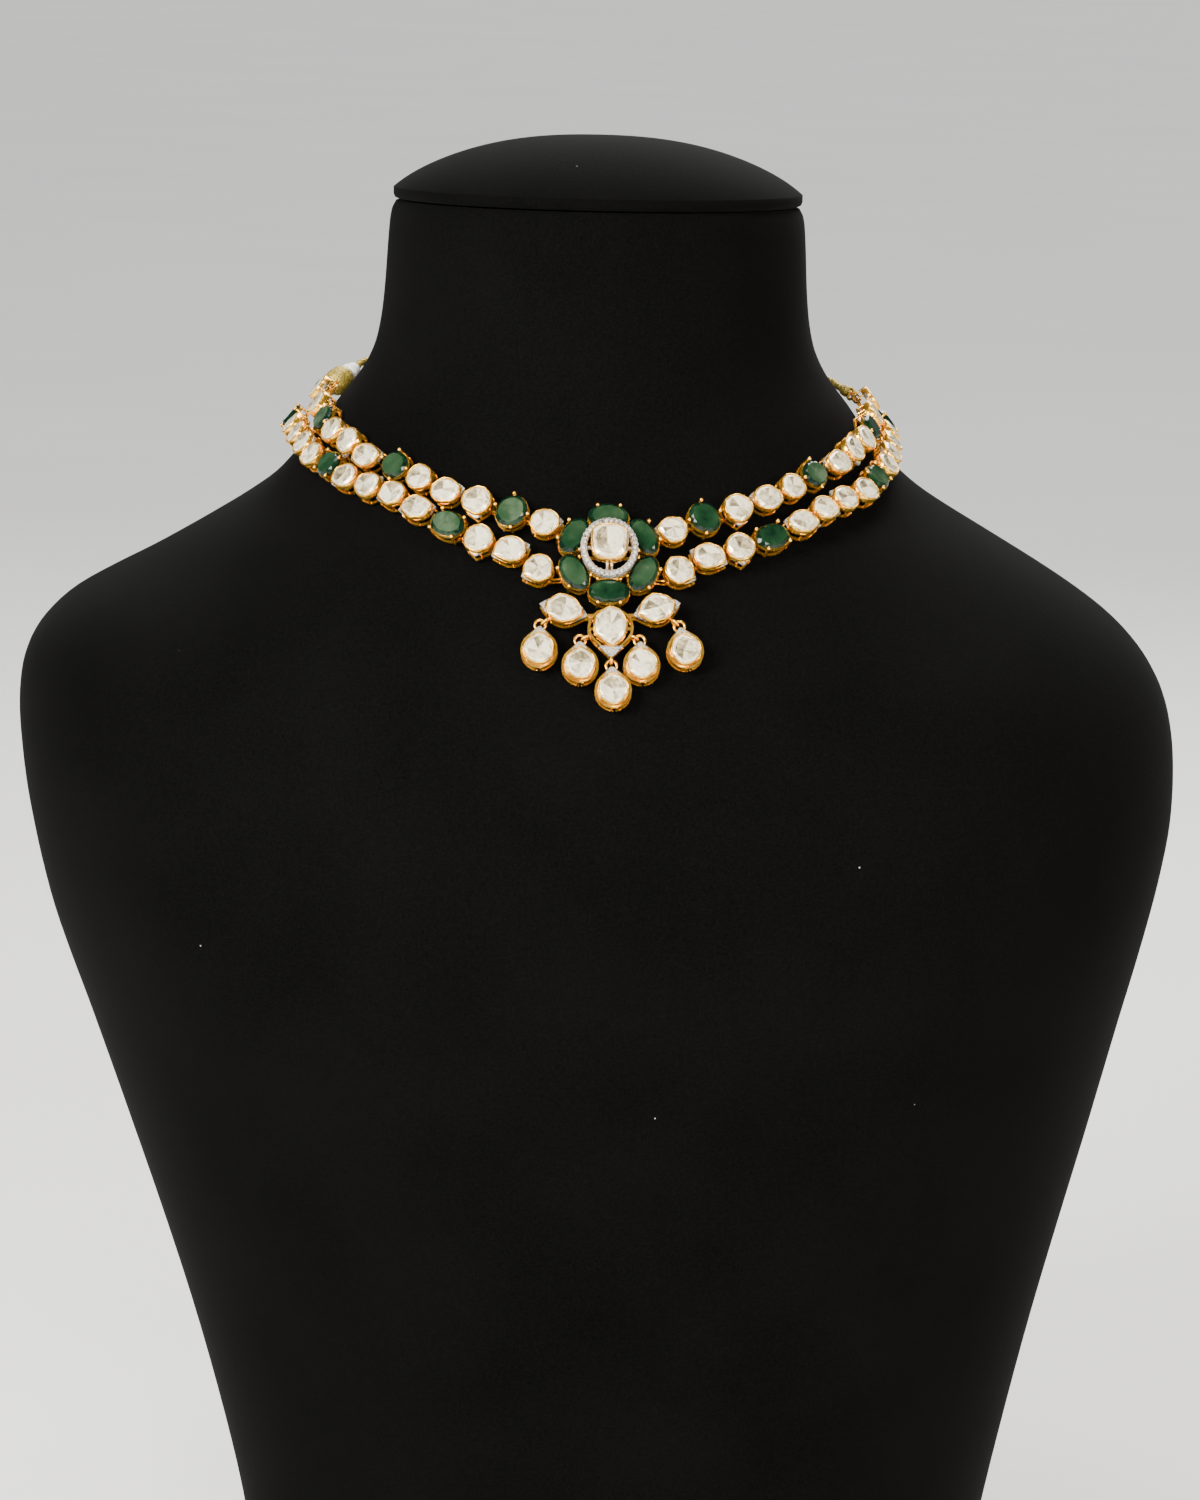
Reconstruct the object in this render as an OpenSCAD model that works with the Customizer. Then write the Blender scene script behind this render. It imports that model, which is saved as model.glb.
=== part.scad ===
// Polki necklace with emeralds, worn by a black neck bust.
// Millimetres, +Z up. The front faces -Y, +X is on the right, the origin is the middle of the flat base.

/* [Bust] */
// Height of the neck's top edge above the base
neck_top = 389; // [386:1:394]
// Sides of the bust's round skin
bust_sides = 40; // [40:4:60]
// Radius of the cap on the neck
cap_r = 54.6; // [54:0.2:55]
// Rise of the cap's dome over its rim
cap_rise = 13.8; // [13:0.2:14.6]
// Height of the cap's rim
cap_rim = 4.1; // [3.7:0.1:4.5]
// Dark seam between the neck and the cap
cap_seam = 0.7; // [0.5:0.1:0.9]
// Slant of the neck's top down to the back, in degrees
top_slant = 1.6; // [1.2:0.1:2]

/* [Metalwork] */
// Height of the lower gallery wire over the bust
rest_gap = 1.15; // [1.1:0.05:1.3]
// Width of a gallery wire
rail_w = 0.6; // [0.5:0.05:0.7]
// Height of a gallery wire
rail_h = 0.55; // [0.45:0.05:0.6]
// Height of the upper frame over the lower gallery wire
gallery_h = 2.5; // [2.4:0.1:2.8]
// Wall of a stone's bezel cup
cup_wall = 0.35; // [0.3:0.05:0.45]
// Height of a bezel cup
cup_h = 2; // [1.8:0.1:2.4]
// Space round a stone in its cup
stone_gap = 0.12; // [0.1:0.01:0.15]
// Thickness of a link's wire
wire = 0.4; // [0.35:0.05:0.45]
// Radius of a claw
claw_r = 0.34; // [0.3:0.02:0.38]
// Radius of a claw's ball tip
ball_r = 0.52; // [0.46:0.02:0.56]

/* [Rows] */
// Drop of the upper row's front below the neck's top
upper_drop = 82; // [81.5:0.5:82.5]
// Drop of the lower row's front below the upper row's
lower_drop = 10.2; // [9.8:0.2:11]
// Space between neighbouring frames of a row
row_gap = 0.5; // [0.45:0.05:0.6]
// Space between a claw's ball tip and the next frame
claw_gap = 0.15; // [0.12:0.01:0.2]
// Distance that the rows' ends stand off the neck
end_lift = 2.8; // [2.6:0.1:3]

/* [Flower] */
// Drop of the flower's centre below the neck's top
flower_drop = 86.4; // [86:0.2:87]
// Radius of the ring of six emeralds
petal_ring = 10.2; // [10.1:0.1:10.5]
// Half width of the diamond halo
halo_a = 7.35; // [7.2:0.05:7.5]
// Half height of the diamond halo
halo_b = 8.1; // [7.9:0.1:8.3]
// Width of the diamond halo
halo_w = 1.65; // [1.5:0.05:1.8]

/* [Pendant and drops] */
// Distance from the flower's centre to the pendant's centre
pendant_reach = 19.9; // [19.8:0.1:20.2]
// Half width of a drop's frame
drop_a = 4.2; // [4:0.1:4.3]
// Half height of a drop's round part
drop_b = 4.4; // [4.2:0.1:4.5]
// Radius of a drop's round ring
ring_r = 1.35; // [1.3:0.05:1.4]
// Thickness of a drop's ring
ring_wire = 0.76; // [0.7:0.02:0.8]

/* [Tie cord] */
// Thickness of the cord
cord_d = 2; // [1.8:0.1:2.1]

/* [Hidden] */
$fn = 32;

gold = "#d9a441";
white_gold = "#d8d4cc";
polki_white = "#e9e6df";
emerald_green = "#1f6b48";
bust_black = "#1c1c1b";
zari = "#a8953f";
thread_white = "#ece8de";

// Bust: the sections of the skin
// Columns: drop below the neck's top, half width on the left and on the right, front depth, back depth,
// shift to the right, squareness
DROP = 0;
HALF_LEFT = 1;
HALF_RIGHT = 2;
FRONT = 3;
BACK = 4;
SHIFT = 5;
SQUARE = 6;
neck_axis_y = 13.1;
sections = [
    [0, 53.9, 53.9, 53.9, 53.9, -11.7, 2],
    [2, 54.9, 54.9, 54.9, 54.9, -11.7, 2],
    [6, 55.5, 55.5, 55.5, 55.5, -11.7, 2],
    [14, 56, 56, 55.9, 55.9, -11.7, 2],
    [27, 56.8, 56.8, 56.5, 56.5, -11.7, 2],
    [38, 58.6, 58.6, 57.4, 57.2, -11.6, 2],
    [46, 62.2, 62.2, 58.8, 58.2, -11.4, 2],
    [54, 68.2, 68.2, 61.4, 59.6, -11.3, 2],
    [64, 76, 75.8, 65.6, 61.4, -11.5, 2],
    [75.5, 84.7, 89.2, 71.4, 63.6, -12.5, 2],
    [86, 99, 107.3, 77.6, 66, -13.5, 2.05],
    [97, 116.7, 126.8, 84.6, 68.6, -14.5, 2.1],
    [108, 136.5, 142.7, 91.4, 71.2, -14.5, 2.2],
    [119, 148.4, 151.7, 97.8, 73.6, -13, 2.3],
    [131, 153.8, 155.8, 103.6, 75.6, -11, 2.35],
    [146, 155.3, 156.2, 109, 77.4, -9, 2.4],
    [165, 154.1, 154.1, 112.4, 78, -7.4, 2.4],
    [190, 148.7, 148.7, 113, 77.2, -6.8, 2.4],
    [216, 141, 141, 109.6, 75, -5.4, 2.35],
    [250, 131, 131, 104.4, 72, -3.6, 2.3],
    [300, 116.4, 116.4, 97.6, 68, -1.5, 2.3],
    [350, 104.3, 104.3, 92, 64.6, -0.1, 2.3],
    [neck_top, 97.3, 97.3, 88.6, 62.4, 0, 2.3]
];
rings_between = 2;

// Smooth value of one column between section i and the next, at the share t of the way
function slope(i, c) =
    let (a = max(i - 1, 0), b = min(i + 1, len(sections) - 1))
    (sections[b][c] - sections[a][c]) / (sections[b][DROP] - sections[a][DROP]);
function blend(i, c, t) =
    let (h = sections[i + 1][DROP] - sections[i][DROP])
    (2*pow(t, 3) - 3*pow(t, 2) + 1) * sections[i][c] + (pow(t, 3) - 2*pow(t, 2) + t) * h * slope(i, c)
    + (3*pow(t, 2) - 2*pow(t, 3)) * sections[i + 1][c] + (pow(t, 3) - pow(t, 2)) * h * slope(i + 1, c);
function section_index(drop, i = 0) =
    i >= len(sections) - 2 || sections[i + 1][DROP] > drop ? i : section_index(drop, i + 1);
function section_at(z) =
    let (
        drop = min(max(neck_top - z, 0), neck_top),
        i = section_index(drop),
        t = (drop - sections[i][DROP]) / (sections[i + 1][DROP] - sections[i][DROP])
    )
    [drop, for (c = [HALF_LEFT:SQUARE]) blend(i, c, t)];

// Point of the skin at an angle round the neck (0 is the front, 90 the right) and a height
function signed_pow(v, e) = sign(v) * pow(abs(v), e);
function skin(angle, z) =
    let (
        s = section_at(z),
        e = 2 / s[SQUARE],
        wide = sin(angle) < 0 ? s[HALF_LEFT] : s[HALF_RIGHT],
        depth = cos(angle) > 0 ? s[FRONT] : s[BACK]
    )
    [s[SHIFT] + wide * signed_pow(sin(angle), e), neck_axis_y - depth * signed_pow(cos(angle), e), z];
function unit(v) = v / norm(v);
function skin_normal(angle, z) =
    unit(cross(skin(angle + 0.5, z) - skin(angle - 0.5, z), skin(angle, z + 0.5) - skin(angle, z - 0.5)));

// Local frames: [origin, right, up, out]
ORIGIN = 0;
RIGHT = 1;
UP = 2;
OUT = 3;
function frame_from(origin, right, out) =
    let (r = unit(right - (right * out) * out)) [origin, r, cross(out, r), out];
function place(f, p) = f[ORIGIN] + p.x * f[RIGHT] + p.y * f[UP] + p.z * f[OUT];
module at(f) {
    multmatrix([for (i = [0:2]) [f[RIGHT][i], f[UP][i], f[OUT][i], f[ORIGIN][i]]]) children();
}

// Rows of links
// The necklace hangs a little to the right of the neck's middle.
centre_angle = 3.3;
// Curve of each half row up to the nape. Columns: drop at the front, rise, quickness of the rise
CURVE_DROP = 0;
CURVE_RISE = 1;
CURVE_RATE = 2;
curves = [
    [[upper_drop - 1, 64, 0.273], [upper_drop + 1, 35, 0.595]],
    [[upper_drop + lower_drop, 28.4, 0.88], [upper_drop + lower_drop + 0.2, 34, 0.68]]
];
lift_from = 74;
lift_to = 104;
UPPER = 0;
LOWER = 1;
function row_z(row, side, a) =
    let (c = curves[row][side > 0 ? 1 : 0]) neck_top - c[CURVE_DROP] + c[CURVE_RISE] * sin(c[CURVE_RATE] * a);
function ease(t) = let (u = min(max(t, 0), 1)) u * u * (3 - 2 * u);
function row_point(row, side, a) =
    let (w = centre_angle + side * a, z = row_z(row, side, a))
    skin(w, z) + end_lift * ease((a - lift_from) / (lift_to - lift_from)) * skin_normal(w, z);
// Length along a row from the front to each whole degree, as [length, angle]
last_angle = 112;
function lengths(row, side) = [
    for (
        a = 0, s = 0;
        a <= last_angle;
        s = s + norm(row_point(row, side, a + 1) - row_point(row, side, a)), a = a + 1
    ) [s, a]
];
row_lengths = [for (row = [UPPER, LOWER]) [for (side = [-1, 1]) lengths(row, side)]];
function lengths_of(row, side) = row_lengths[row][side > 0 ? 1 : 0];

// Kinds of link. Columns: kind, half length, half height, turn, first point, second point of the frame,
// and how far the left and the right link lie above the row's smooth curve.
// Angles run from the outward direction of the row (0) through up (90) to the flower (180).
POLKI = 0;
EMERALD = 1;
KIND = 0;
HALF_L = 1;
HALF_H = 2;
TURN = 3;
TIP_1 = 4;
TIP_2 = 5;
RISE = 6;
NONE = 999;
upper_links = [
    [POLKI, 3.35, 3.2, -20, 158, NONE, -1.3, -1.2],
    [EMERALD, 3.95, 4.4, 20, NONE, NONE, -0.6, -0.1],
    [POLKI, 3.6, 3.4, 0, 250, NONE, -0.6, -0.4],
    [POLKI, 3.65, 3.05, -8, 150, NONE, -0.8, -0.6],
    [POLKI, 3.3, 3.1, 0, NONE, NONE, 0.2, -0.3],
    [EMERALD, 4.05, 3.65, 0, NONE, NONE, 0.7, 0.2],
    [POLKI, 3.95, 2.95, -8, 148, 328, -0.6, -0.6],
    [POLKI, 3.7, 3.15, 10, 240, NONE, 0, -0.3],
    [POLKI, 3.85, 3.1, -6, 148, NONE, -0.8, -0.8],
    [EMERALD, 4.2, 3.6, 0, NONE, NONE, -1.2, -1.2],
    [POLKI, 3.75, 3.15, -8, 318, NONE, -1.6, -1.2],
    [POLKI, 3.85, 3.05, 0, 150, NONE, -1.2, -0.8]
];
lower_links = [
    [POLKI, 3.35, 3.45, 0, 316, NONE, -2, -1.4],
    [POLKI, 3.7, 3.15, -10, 142, 322, 0.6, 0.3],
    [POLKI, 3.5, 3.45, 0, 256, NONE, 0.4, 0.3],
    [EMERALD, 4.85, 3.6, 0, NONE, NONE, 1, 0.2],
    [POLKI, 3.8, 2.95, -8, 148, 328, 1.2, 0.3],
    [POLKI, 3.5, 3.05, 0, 318, NONE, 1.6, 1],
    [POLKI, 3.5, 3.15, 6, 118, NONE, 0.4, 0.4],
    [POLKI, 3.7, 3.1, -6, 310, NONE, -0.4, -0.8],
    [EMERALD, 4.1, 3.65, 0, NONE, NONE, 0, -0.4],
    [POLKI, 3.5, 3.1, -8, 318, NONE, -0.8, -0.6],
    [POLKI, 3.5, 3.1, 4, 140, NONE, -0.2, -0.4],
    [POLKI, 3.5, 3.1, 8, 310, NONE, -0.2, -0.4],
    [POLKI, 3.4, 3.05, -6, 318, NONE, -0.4, -0.6],
    [EMERALD, 4.1, 3.65, 0, NONE, NONE, -0.6, -0.6]
];
// Distance from the row's middle to the first frame. Columns: left, right
row_starts = [[11.1, 11.7], [13.5, 13.5]];
function links_of(row) = row == UPPER ? upper_links : lower_links;

// Outlines, as radii at an angle. A shape is [half length, half height, turn, first point, second point].
frame_reach = 1.24;
stone_reach = 1.1;
frame_grow = 0.5;
facets = 12;
frame_points = 20;
function oval_r(a, b, t) = a * b / sqrt(pow(b * cos(t), 2) + pow(a * sin(t), 2));
function apart(t, u) = abs((t - u + 900) % 360 - 180);
// Straight flanks from the oval to a point at tip, reach times as far out as the oval
function flank(t, tip, reach) =
    let (half = acos(1 / reach), d = apart(t, tip)) tip == NONE || d >= half ? 1 : 1 / cos(half - d);
function wobble(t, seed) = 1 + 0.03 * sin(3 * t + 47 * seed) + 0.025 * sin(5 * t + 83 * seed);
function shape_of(l) = [for (c = [HALF_L:TIP_2]) l[c]];
function shape_r(shape, grow, reach, t) =
    oval_r(shape[0] + grow, shape[1] + grow, t - shape[2]) * max(flank(t, shape[3], reach), flank(t, shape[4], reach));
function stone_r(shape, seed, t) = shape_r(shape, 0, stone_reach, t) * wobble(t, seed);
function ray(r, t, side) = [side * r * cos(t), r * sin(t)];
function angles_from(shape, n) = [for (i = [0:n - 1]) (shape[3] == NONE ? 0 : shape[3]) + i * 360 / n];
function frame_outline(shape, reach, grow, side) =
    [for (t = angles_from(shape, frame_points)) ray(shape_r(shape, frame_grow, reach, t) + grow, t, side)];
function stone_outline(shape, seed, grow, side) =
    [for (t = angles_from(shape, facets)) ray(stone_r(shape, seed, t) + grow, t, side)];
function oval_outline(shape, grow, side) =
    [for (t = angles_from(shape, frame_points)) ray(oval_r(shape[0], shape[1], t - shape[2]) + grow, t, side)];
function link_outline(l, grow, side) =
    l[KIND] == POLKI ? frame_outline(shape_of(l), frame_reach, grow, side)
                     : oval_outline(shape_of(l), claw_seat + grow, side);
function xs(points) = [for (p = points) p.x];

// Levels over the bust
upper_level = rest_gap + gallery_h;
cup_base = upper_level - 0.25;
cup_floor = 0.4;
cup_rim = cup_base + cup_h;
eyelet_level = 3.1;
ring_level = 3.3;
claw_seat = 0.25;
claw_out = 0.47;
girdle_level = 4.45;
ball_level = 5.05;

// Claws of an emerald, and how far a link reaches outward (way 1) or towards the flower (way -1)
upper_claws = [80, 5, 250, 175];
oval_claws = [42, 138, 222, 318];
function claws_for(row) = row == UPPER ? upper_claws : oval_claws;
function claw_at(shape, t, side) = ray(oval_r(shape[0], shape[1], t - shape[2]) + claw_out, t, side);
function link_reach(row, l, way) = max(concat(
    [for (x = xs(link_outline(l, 0, 1))) way * x + row_gap / 2],
    l[KIND] == POLKI ? [] : [for (t = claws_for(row)) way * claw_at(shape_of(l), t, 1).x + ball_r + claw_gap - row_gap / 2]
));

// Places of a row's links: the length along the row of each link's middle
function stations(row, start) =
    let (list = links_of(row))
    [for (
        i = 0, s = start + link_reach(row, list[0], -1);
        i < len(list);
        s = s + (i < len(list) - 1 ? link_reach(row, list[i], 1) + link_reach(row, list[i + 1], -1) : 0), i = i + 1
    ) s];
row_stations = [for (row = [UPPER, LOWER]) [for (start = row_starts[row]) stations(row, start)]];
function row_frame(row, side, s) =
    let (
        table = lengths_of(row, side),
        a = lookup(s, table),
        here = row_point(row, side, a),
        ahead = row_point(row, side, lookup(s + 4, table)),
        behind = row_point(row, side, lookup(s - 4, table)),
        out = skin_normal(centre_angle + side * a, row_z(row, side, a))
    )
    frame_from(here, side * (ahead - behind), out);
function raised(f, rise) = [f[ORIGIN] + rise * f[UP], f[RIGHT], f[UP], f[OUT]];
row_frames = [for (row = [UPPER, LOWER]) [for (k = [0, 1]) [for (i = [0:len(links_of(row)) - 1])
    raised(row_frame(row, 2 * k - 1, row_stations[row][k][i]), links_of(row)[i][RISE + k])]]];
function link_frame(row, side, i) = row_frames[row][side > 0 ? 1 : 0][i];

// Flat ring between two outlines of the same number of points
module ring_2d(outer, inner) {
    n = len(outer);
    polygon(concat(outer, inner), paths = [[for (i = [0:n - 1]) i], [for (i = [0:len(inner) - 1]) n + i]]);
}
module slab(z, h) {
    translate([0, 0, z]) linear_extrude(h) children();
}

// White plate for small diamonds between a cup and the point of its frame
plate_half = 34;
plate_steps = 6;
plate_rise = 0.08;
module tip_plate(shape, reach, tip, seed, side) {
    angles = [for (i = [0:plate_steps]) tip + plate_half * (2 * i / plate_steps - 1)];
    outer = [for (t = angles) ray(shape_r(shape, frame_grow, reach, t) - 0.1, t, side)];
    inner = [for (i = [plate_steps:-1:0]) let (t = angles[i]) ray(stone_r(shape, seed, t) + stone_gap, t, side)];
    slab(upper_level + plate_rise, rail_h) polygon(concat(outer, inner));
}

// Double gallery under a bezel cup: two wires of one outline, with posts from the lower one to the upper one.
// The cup is soldered to the upper wire, as are the children; the stone's room is cut out of all of it.
post_r = 0.3;
module wire_ring(shape, reach, side) {
    ring_2d(frame_outline(shape, reach, 0, side), frame_outline(shape, reach, -rail_w, side));
}
module upper_works(shape, reach, side, posts, cup, room) {
    difference() {
        union() {
            slab(upper_level, rail_h) wire_ring(shape, reach, side);
            slab(cup_base, cup_h) polygon(cup);
            for (t = posts) {
                p = ray(shape_r(shape, frame_grow, reach, t) - rail_w / 2, t, side);
                translate([p.x, p.y, rest_gap + 0.1]) cylinder(r = post_r, h = gallery_h + 0.2, $fn = 16);
            }
            children();
        }
        slab(cup_base + cup_floor, cup_h) polygon(room);
    }
}
module cup_setting(shape, reach, seed, side, posts) {
    slab(rest_gap, rail_h) wire_ring(shape, reach, side);
    upper_works(shape, reach, side, posts, stone_outline(shape, seed, cup_wall + stone_gap, side),
        stone_outline(shape, seed, stone_gap, side))
        for (tip = [shape[3], shape[4]])
            if (tip != NONE) tip_plate(shape, reach, tip, seed, side);
}
link_posts = [55, 125, 235, 305];

// Polki stone: an uncut slice with a flat table and a ring of slanting facets
table_share = 0.66;
crown_h = 0.5;
module slice(outline, low, girdle, crown, seed) {
    n = len(outline);
    table = [for (i = [0:n - 1])
        outline[i] * (table_share + 0.05 * sin(130 * i + 61 * seed)) + [0.25 * sin(90 * seed), 0.2]];
    levels = concat(
        [for (p = outline) [p.x, p.y, low]],
        [for (p = outline) [p.x, p.y, girdle]],
        [for (p = table) [p.x, p.y, girdle + crown]]
    );
    polyhedron(levels, band_faces(n, 3), convexity = 4);
}
stone_rest = 0.1;
module polki_stone(shape, seed, side) {
    mirror([side < 0 ? 1 : 0, 0, 0])
        slice(stone_outline(shape, seed, 0, 1), cup_base + cup_floor + stone_rest, cup_base + cup_h - stone_rest,
            crown_h, seed);
}
// Faces of a closed stack of rings, from the bottom ring to the top ring
function band_faces(n, rings) = concat(
    [[for (i = [0:n - 1]) i]],
    [for (r = [0:rings - 2]) for (i = [0:n - 1])
        let (j = (i + 1) % n, k = r * n) each [[k + i, k + n + i, k + j], [k + j, k + n + i, k + n + j]]],
    [[for (i = [n - 1:-1:0]) (rings - 1) * n + i]]
);

// Setting of one emerald: two wires and four claws with ball tips
module emerald_setting(shape, claws, side) {
    outer = oval_outline(shape, claw_seat, side);
    inner = oval_outline(shape, claw_seat - rail_w, side);
    for (z = [rest_gap, upper_level - 0.3]) slab(z, rail_h) ring_2d(outer, inner);
    for (t = claws) {
        p = claw_at(shape, t, side);
        translate([p.x, p.y, rest_gap + 0.1]) cylinder(r = claw_r, h = ball_level - rest_gap - 0.1, $fn = 16);
        translate([p.x, p.y, ball_level]) sphere(r = ball_r, $fn = 24);
    }
}

// Emerald: an oval stone with a broad table
emerald_sides = 14;
// Columns: level over the girdle, share of the outline
emerald_levels = [[-1.5, 0.58], [-0.1, 1], [0.1, 1], [0.6, 0.87], [0.95, 0.68]];
module emerald_stone(shape, side) {
    n = emerald_sides;
    points = [for (level = emerald_levels) for (i = [0:n - 1])
        let (t = i * 360 / n, p = ray(oval_r(shape[0], shape[1], t - shape[2]) * level[1], t, 1))
        [p.x, p.y, girdle_level + level[0]]];
    mirror([side < 0 ? 1 : 0, 0, 0]) polyhedron(points, band_faces(n, len(emerald_levels)), convexity = 4);
}

// Small link: a flat loop of wire round two neighbouring gallery wires
loop_r = 1;
module loop_between(p, q, out) {
    middle = (p + q) / 2;
    reach = norm(q - p) / 2;
    at(frame_from(middle, q - p, unit(out - (out * unit(q - p)) * unit(q - p))))
        rotate([90, 0, 0]) linear_extrude(wire, center = true) difference() {
            stadium(reach, loop_r + wire / 2);
            stadium(reach, loop_r - wire / 2);
        }
}
module stadium(reach, r) {
    translate([-reach, 0]) circle(r);
    translate([reach, 0]) circle(r);
    square([2 * reach, 2 * r], center = true);
}

// Where the middle of a link's gallery wire crosses the line y, as [x, slant of the wire there]
function crossings(l, side, y) =
    let (points = link_outline(l, -rail_w / 2, side))
    [for (i = [0:len(points) - 1])
        let (p = points[i], q = points[(i + 1) % len(points)])
        if ((p.y - y) * (q.y - y) <= 0 && p.y != q.y)
            [p.x + (q.x - p.x) * (y - p.y) / (q.y - p.y), abs((q.x - p.x) / (q.y - p.y))]];
function outermost(list, world) = [for (c = list) if (world * c[0] == max([for (d = list) world * d[0]])) c][0];
function wire_point(l, f, side, way, y) =
    place(f, [outermost(crossings(l, side, y), side * way)[0], y, rest_gap + rail_h / 2]);

// The loops run along the row where both wires lie most nearly across it, below the upper row's side claws.
join_heights = [for (y = [-1.9:0.2:1.7]) y];
below_claws = -0.75;
end_height = 0.3;
function slant(l, way, y) = let (c = crossings(l, 1, y)) len(c) == 0 ? 10 : outermost(c, way)[1];
function by_claw(row, l, y) = row == UPPER && l[KIND] == EMERALD && y > below_claws ? 10 : 0;
function half_step(row, side, i) =
    let (list = links_of(row), c = RISE + (side > 0 ? 1 : 0)) (list[i + 1][c] - list[i][c]) / 2;
function cheapest(costs) = [for (i = [0:len(costs) - 1]) if (costs[i] == min(costs)) join_heights[i]][0];
function join_y(row, side, i) =
    let (a = links_of(row)[i], b = links_of(row)[i + 1], h = half_step(row, side, i))
    cheapest([for (y = join_heights)
        slant(a, 1, y + h) + slant(b, -1, y - h) + by_claw(row, a, y + h) + by_claw(row, b, y - h)]);

function seed_of(row, side, i) = 1 + i + 17 * row + 7 * side;
module row_settings(row, side) {
    list = links_of(row);
    last = len(list) - 1;
    color(gold) {
        for (i = [0:last]) {
            l = list[i];
            f = link_frame(row, side, i);
            at(f)
                if (l[KIND] == POLKI) cup_setting(shape_of(l), frame_reach, seed_of(row, side, i), side, link_posts);
                else emerald_setting(shape_of(l), claws_for(row), side);
            if (i < last) {
                g = link_frame(row, side, i + 1);
                y = join_y(row, side, i);
                h = half_step(row, side, i);
                loop_between(wire_point(l, f, side, 1, y + h), wire_point(list[i + 1], g, side, -1, y - h), f[OUT] + g[OUT]);
            }
        }
        // The first link's loop to the flower, and the last link's loop to the end bar
        loop_between(row_begin(row, side), flower_joint(row, side), link_frame(row, side, 0)[OUT] + flower_frame[OUT]);
        loop_between(row_end(row, side), end_joint(row, side), link_frame(row, side, last)[OUT]);
    }
}
module row_polki(row, side) {
    list = links_of(row);
    color(polki_white) for (i = [0:len(list) - 1])
        if (list[i][KIND] == POLKI)
            at(link_frame(row, side, i))
                polki_stone(shape_of(list[i]), seed_of(row, side, i), side);
}
function emerald_at(row, k) = [for (i = [0:len(links_of(row)) - 1]) if (links_of(row)[i][KIND] == EMERALD) i][k - 1];
module row_emerald(row, side, k) {
    i = emerald_at(row, k);
    color(emerald_green) at(link_frame(row, side, i)) emerald_stone(shape_of(links_of(row)[i]), side);
}

// Flower
flower_z = neck_top - flower_drop;
flower_lift = 0.35;
flower_out = skin_normal(centre_angle, flower_z);
// The flower and the pendant hang turned a little against the bust.
flower_turn = 1.4;
plumb_right = [cos(flower_turn), 0, sin(flower_turn)];
flower_frame = frame_from(skin(centre_angle, flower_z) + flower_lift * flower_out, plumb_right, flower_out);
petal = [5.2, 3.3, 0, NONE, NONE];
petal_claws = [48, 132, 228, 312];
hub_r = 6;
hub_w = 0.9;
post_at = 2.8;
halo_level = 6.25;
halo_h = 1.4;
halo_shift = 0.6;
centre_shift = 1.5;
centre_a = 4.25;
centre_b = 4.5;
centre_base = halo_level + 1.3;
function petal_angle(i) = 90 + 60 * i;
function petal_frame(i) =
    let (t = petal_angle(i), across = [cos(t - 90), sin(t - 90), 0])
    frame_from(
        place(flower_frame, [petal_ring * cos(t), petal_ring * sin(t), 0]),
        across.x * flower_frame[RIGHT] + across.y * flower_frame[UP], flower_frame[OUT]
    );
// The points of the emeralds' wires that the rows' first loops hold. Columns: emerald, direction on it, height
// on the row's first link
joints = [[30, 2, -1], [-30, -22, -1.3]];
function row_begin(row, side) = wire_point(links_of(row)[0], link_frame(row, side, 0), side, -1, joints[row][2]);
function flower_joint(row, side) =
    let (
        angle = joints[row][0],
        turn = joints[row][1],
        c = petal_ring * [cos(angle), sin(angle)],
        r = oval_r(petal[0], petal[1], turn - angle - 90) + claw_seat - rail_w / 2
    )
    place(flower_frame, [side * (c.x + r * cos(turn)), c.y + r * sin(turn), rest_gap + rail_h / 2]);
module flower_setting() {
    color(gold) {
        for (i = [0:5]) at(petal_frame(i)) emerald_setting(petal, petal_claws, 1);
        at(flower_frame) {
            slab(rest_gap + 0.05, rail_h) difference() {
                circle(hub_r + hub_w / 2);
                circle(hub_r - hub_w / 2);
            }
            for (turn = [0, 90])
                rotate(turn) slab(rest_gap + 0.02, rail_h) square([2 * hub_r, hub_w], center = true);
        }
    }
}
module flower_emerald(i) {
    color(emerald_green) at(petal_frame(i - 1)) emerald_stone(petal, 1);
}
module oval_2d(a, b, n = 40) {
    polygon([for (i = [0:n - 1]) [a * cos(360 * i / n), b * sin(360 * i / n)]]);
}
// Cushion outline of the centre stone
function cushion_r(a, b, t) = pow(pow(abs(cos(t)) / a, 3.2) + pow(abs(sin(t)) / b, 3.2), -1 / 3.2);
centre_points = 16;
function centre_outline(grow) = [for (i = [0:centre_points - 1])
    let (t = 11 + i * 360 / centre_points)
    ray((cushion_r(centre_a, centre_b, t) + grow) * (1 + 0.02 * sin(3 * t)), t, 1)];
strut_w = 0.7;
strut_h = 0.9;
foot_w = 0.5;
foot_at = 0.6;
stem_r = 0.42;
stem_clear = 0.2;
module halo_setting() {
    post_base = rest_gap + rail_h + stem_clear;
    color(white_gold) at(flower_frame) {
        translate([0, halo_shift]) slab(halo_level, halo_h) difference() {
            oval_2d(halo_a, halo_b);
            oval_2d(halo_a - halo_w, halo_b - halo_w);
        }
        translate([0, halo_shift]) slab(halo_level + 0.1, strut_h)
            square([2 * halo_a - halo_w, strut_w], center = true);
        for (x = [-foot_at, foot_at])
            translate([x - foot_w / 2, halo_shift - halo_b + halo_w / 2]) slab(halo_level + 0.2, strut_h)
                square([foot_w, halo_b - halo_w]);
        translate([0, centre_shift]) difference() {
            slab(centre_base - 0.6, cup_h + 1) polygon(centre_outline(cup_wall + stone_gap));
            slab(centre_base + cup_floor, cup_h) polygon(centre_outline(stone_gap));
        }
        for (p = [[post_at, 0], [-post_at, 0], [0, post_at], [0, -post_at / 2]])
            translate([p.x, p.y, post_base]) cylinder(r = stem_r, h = centre_base - post_base, $fn = 16);
    }
}
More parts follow.
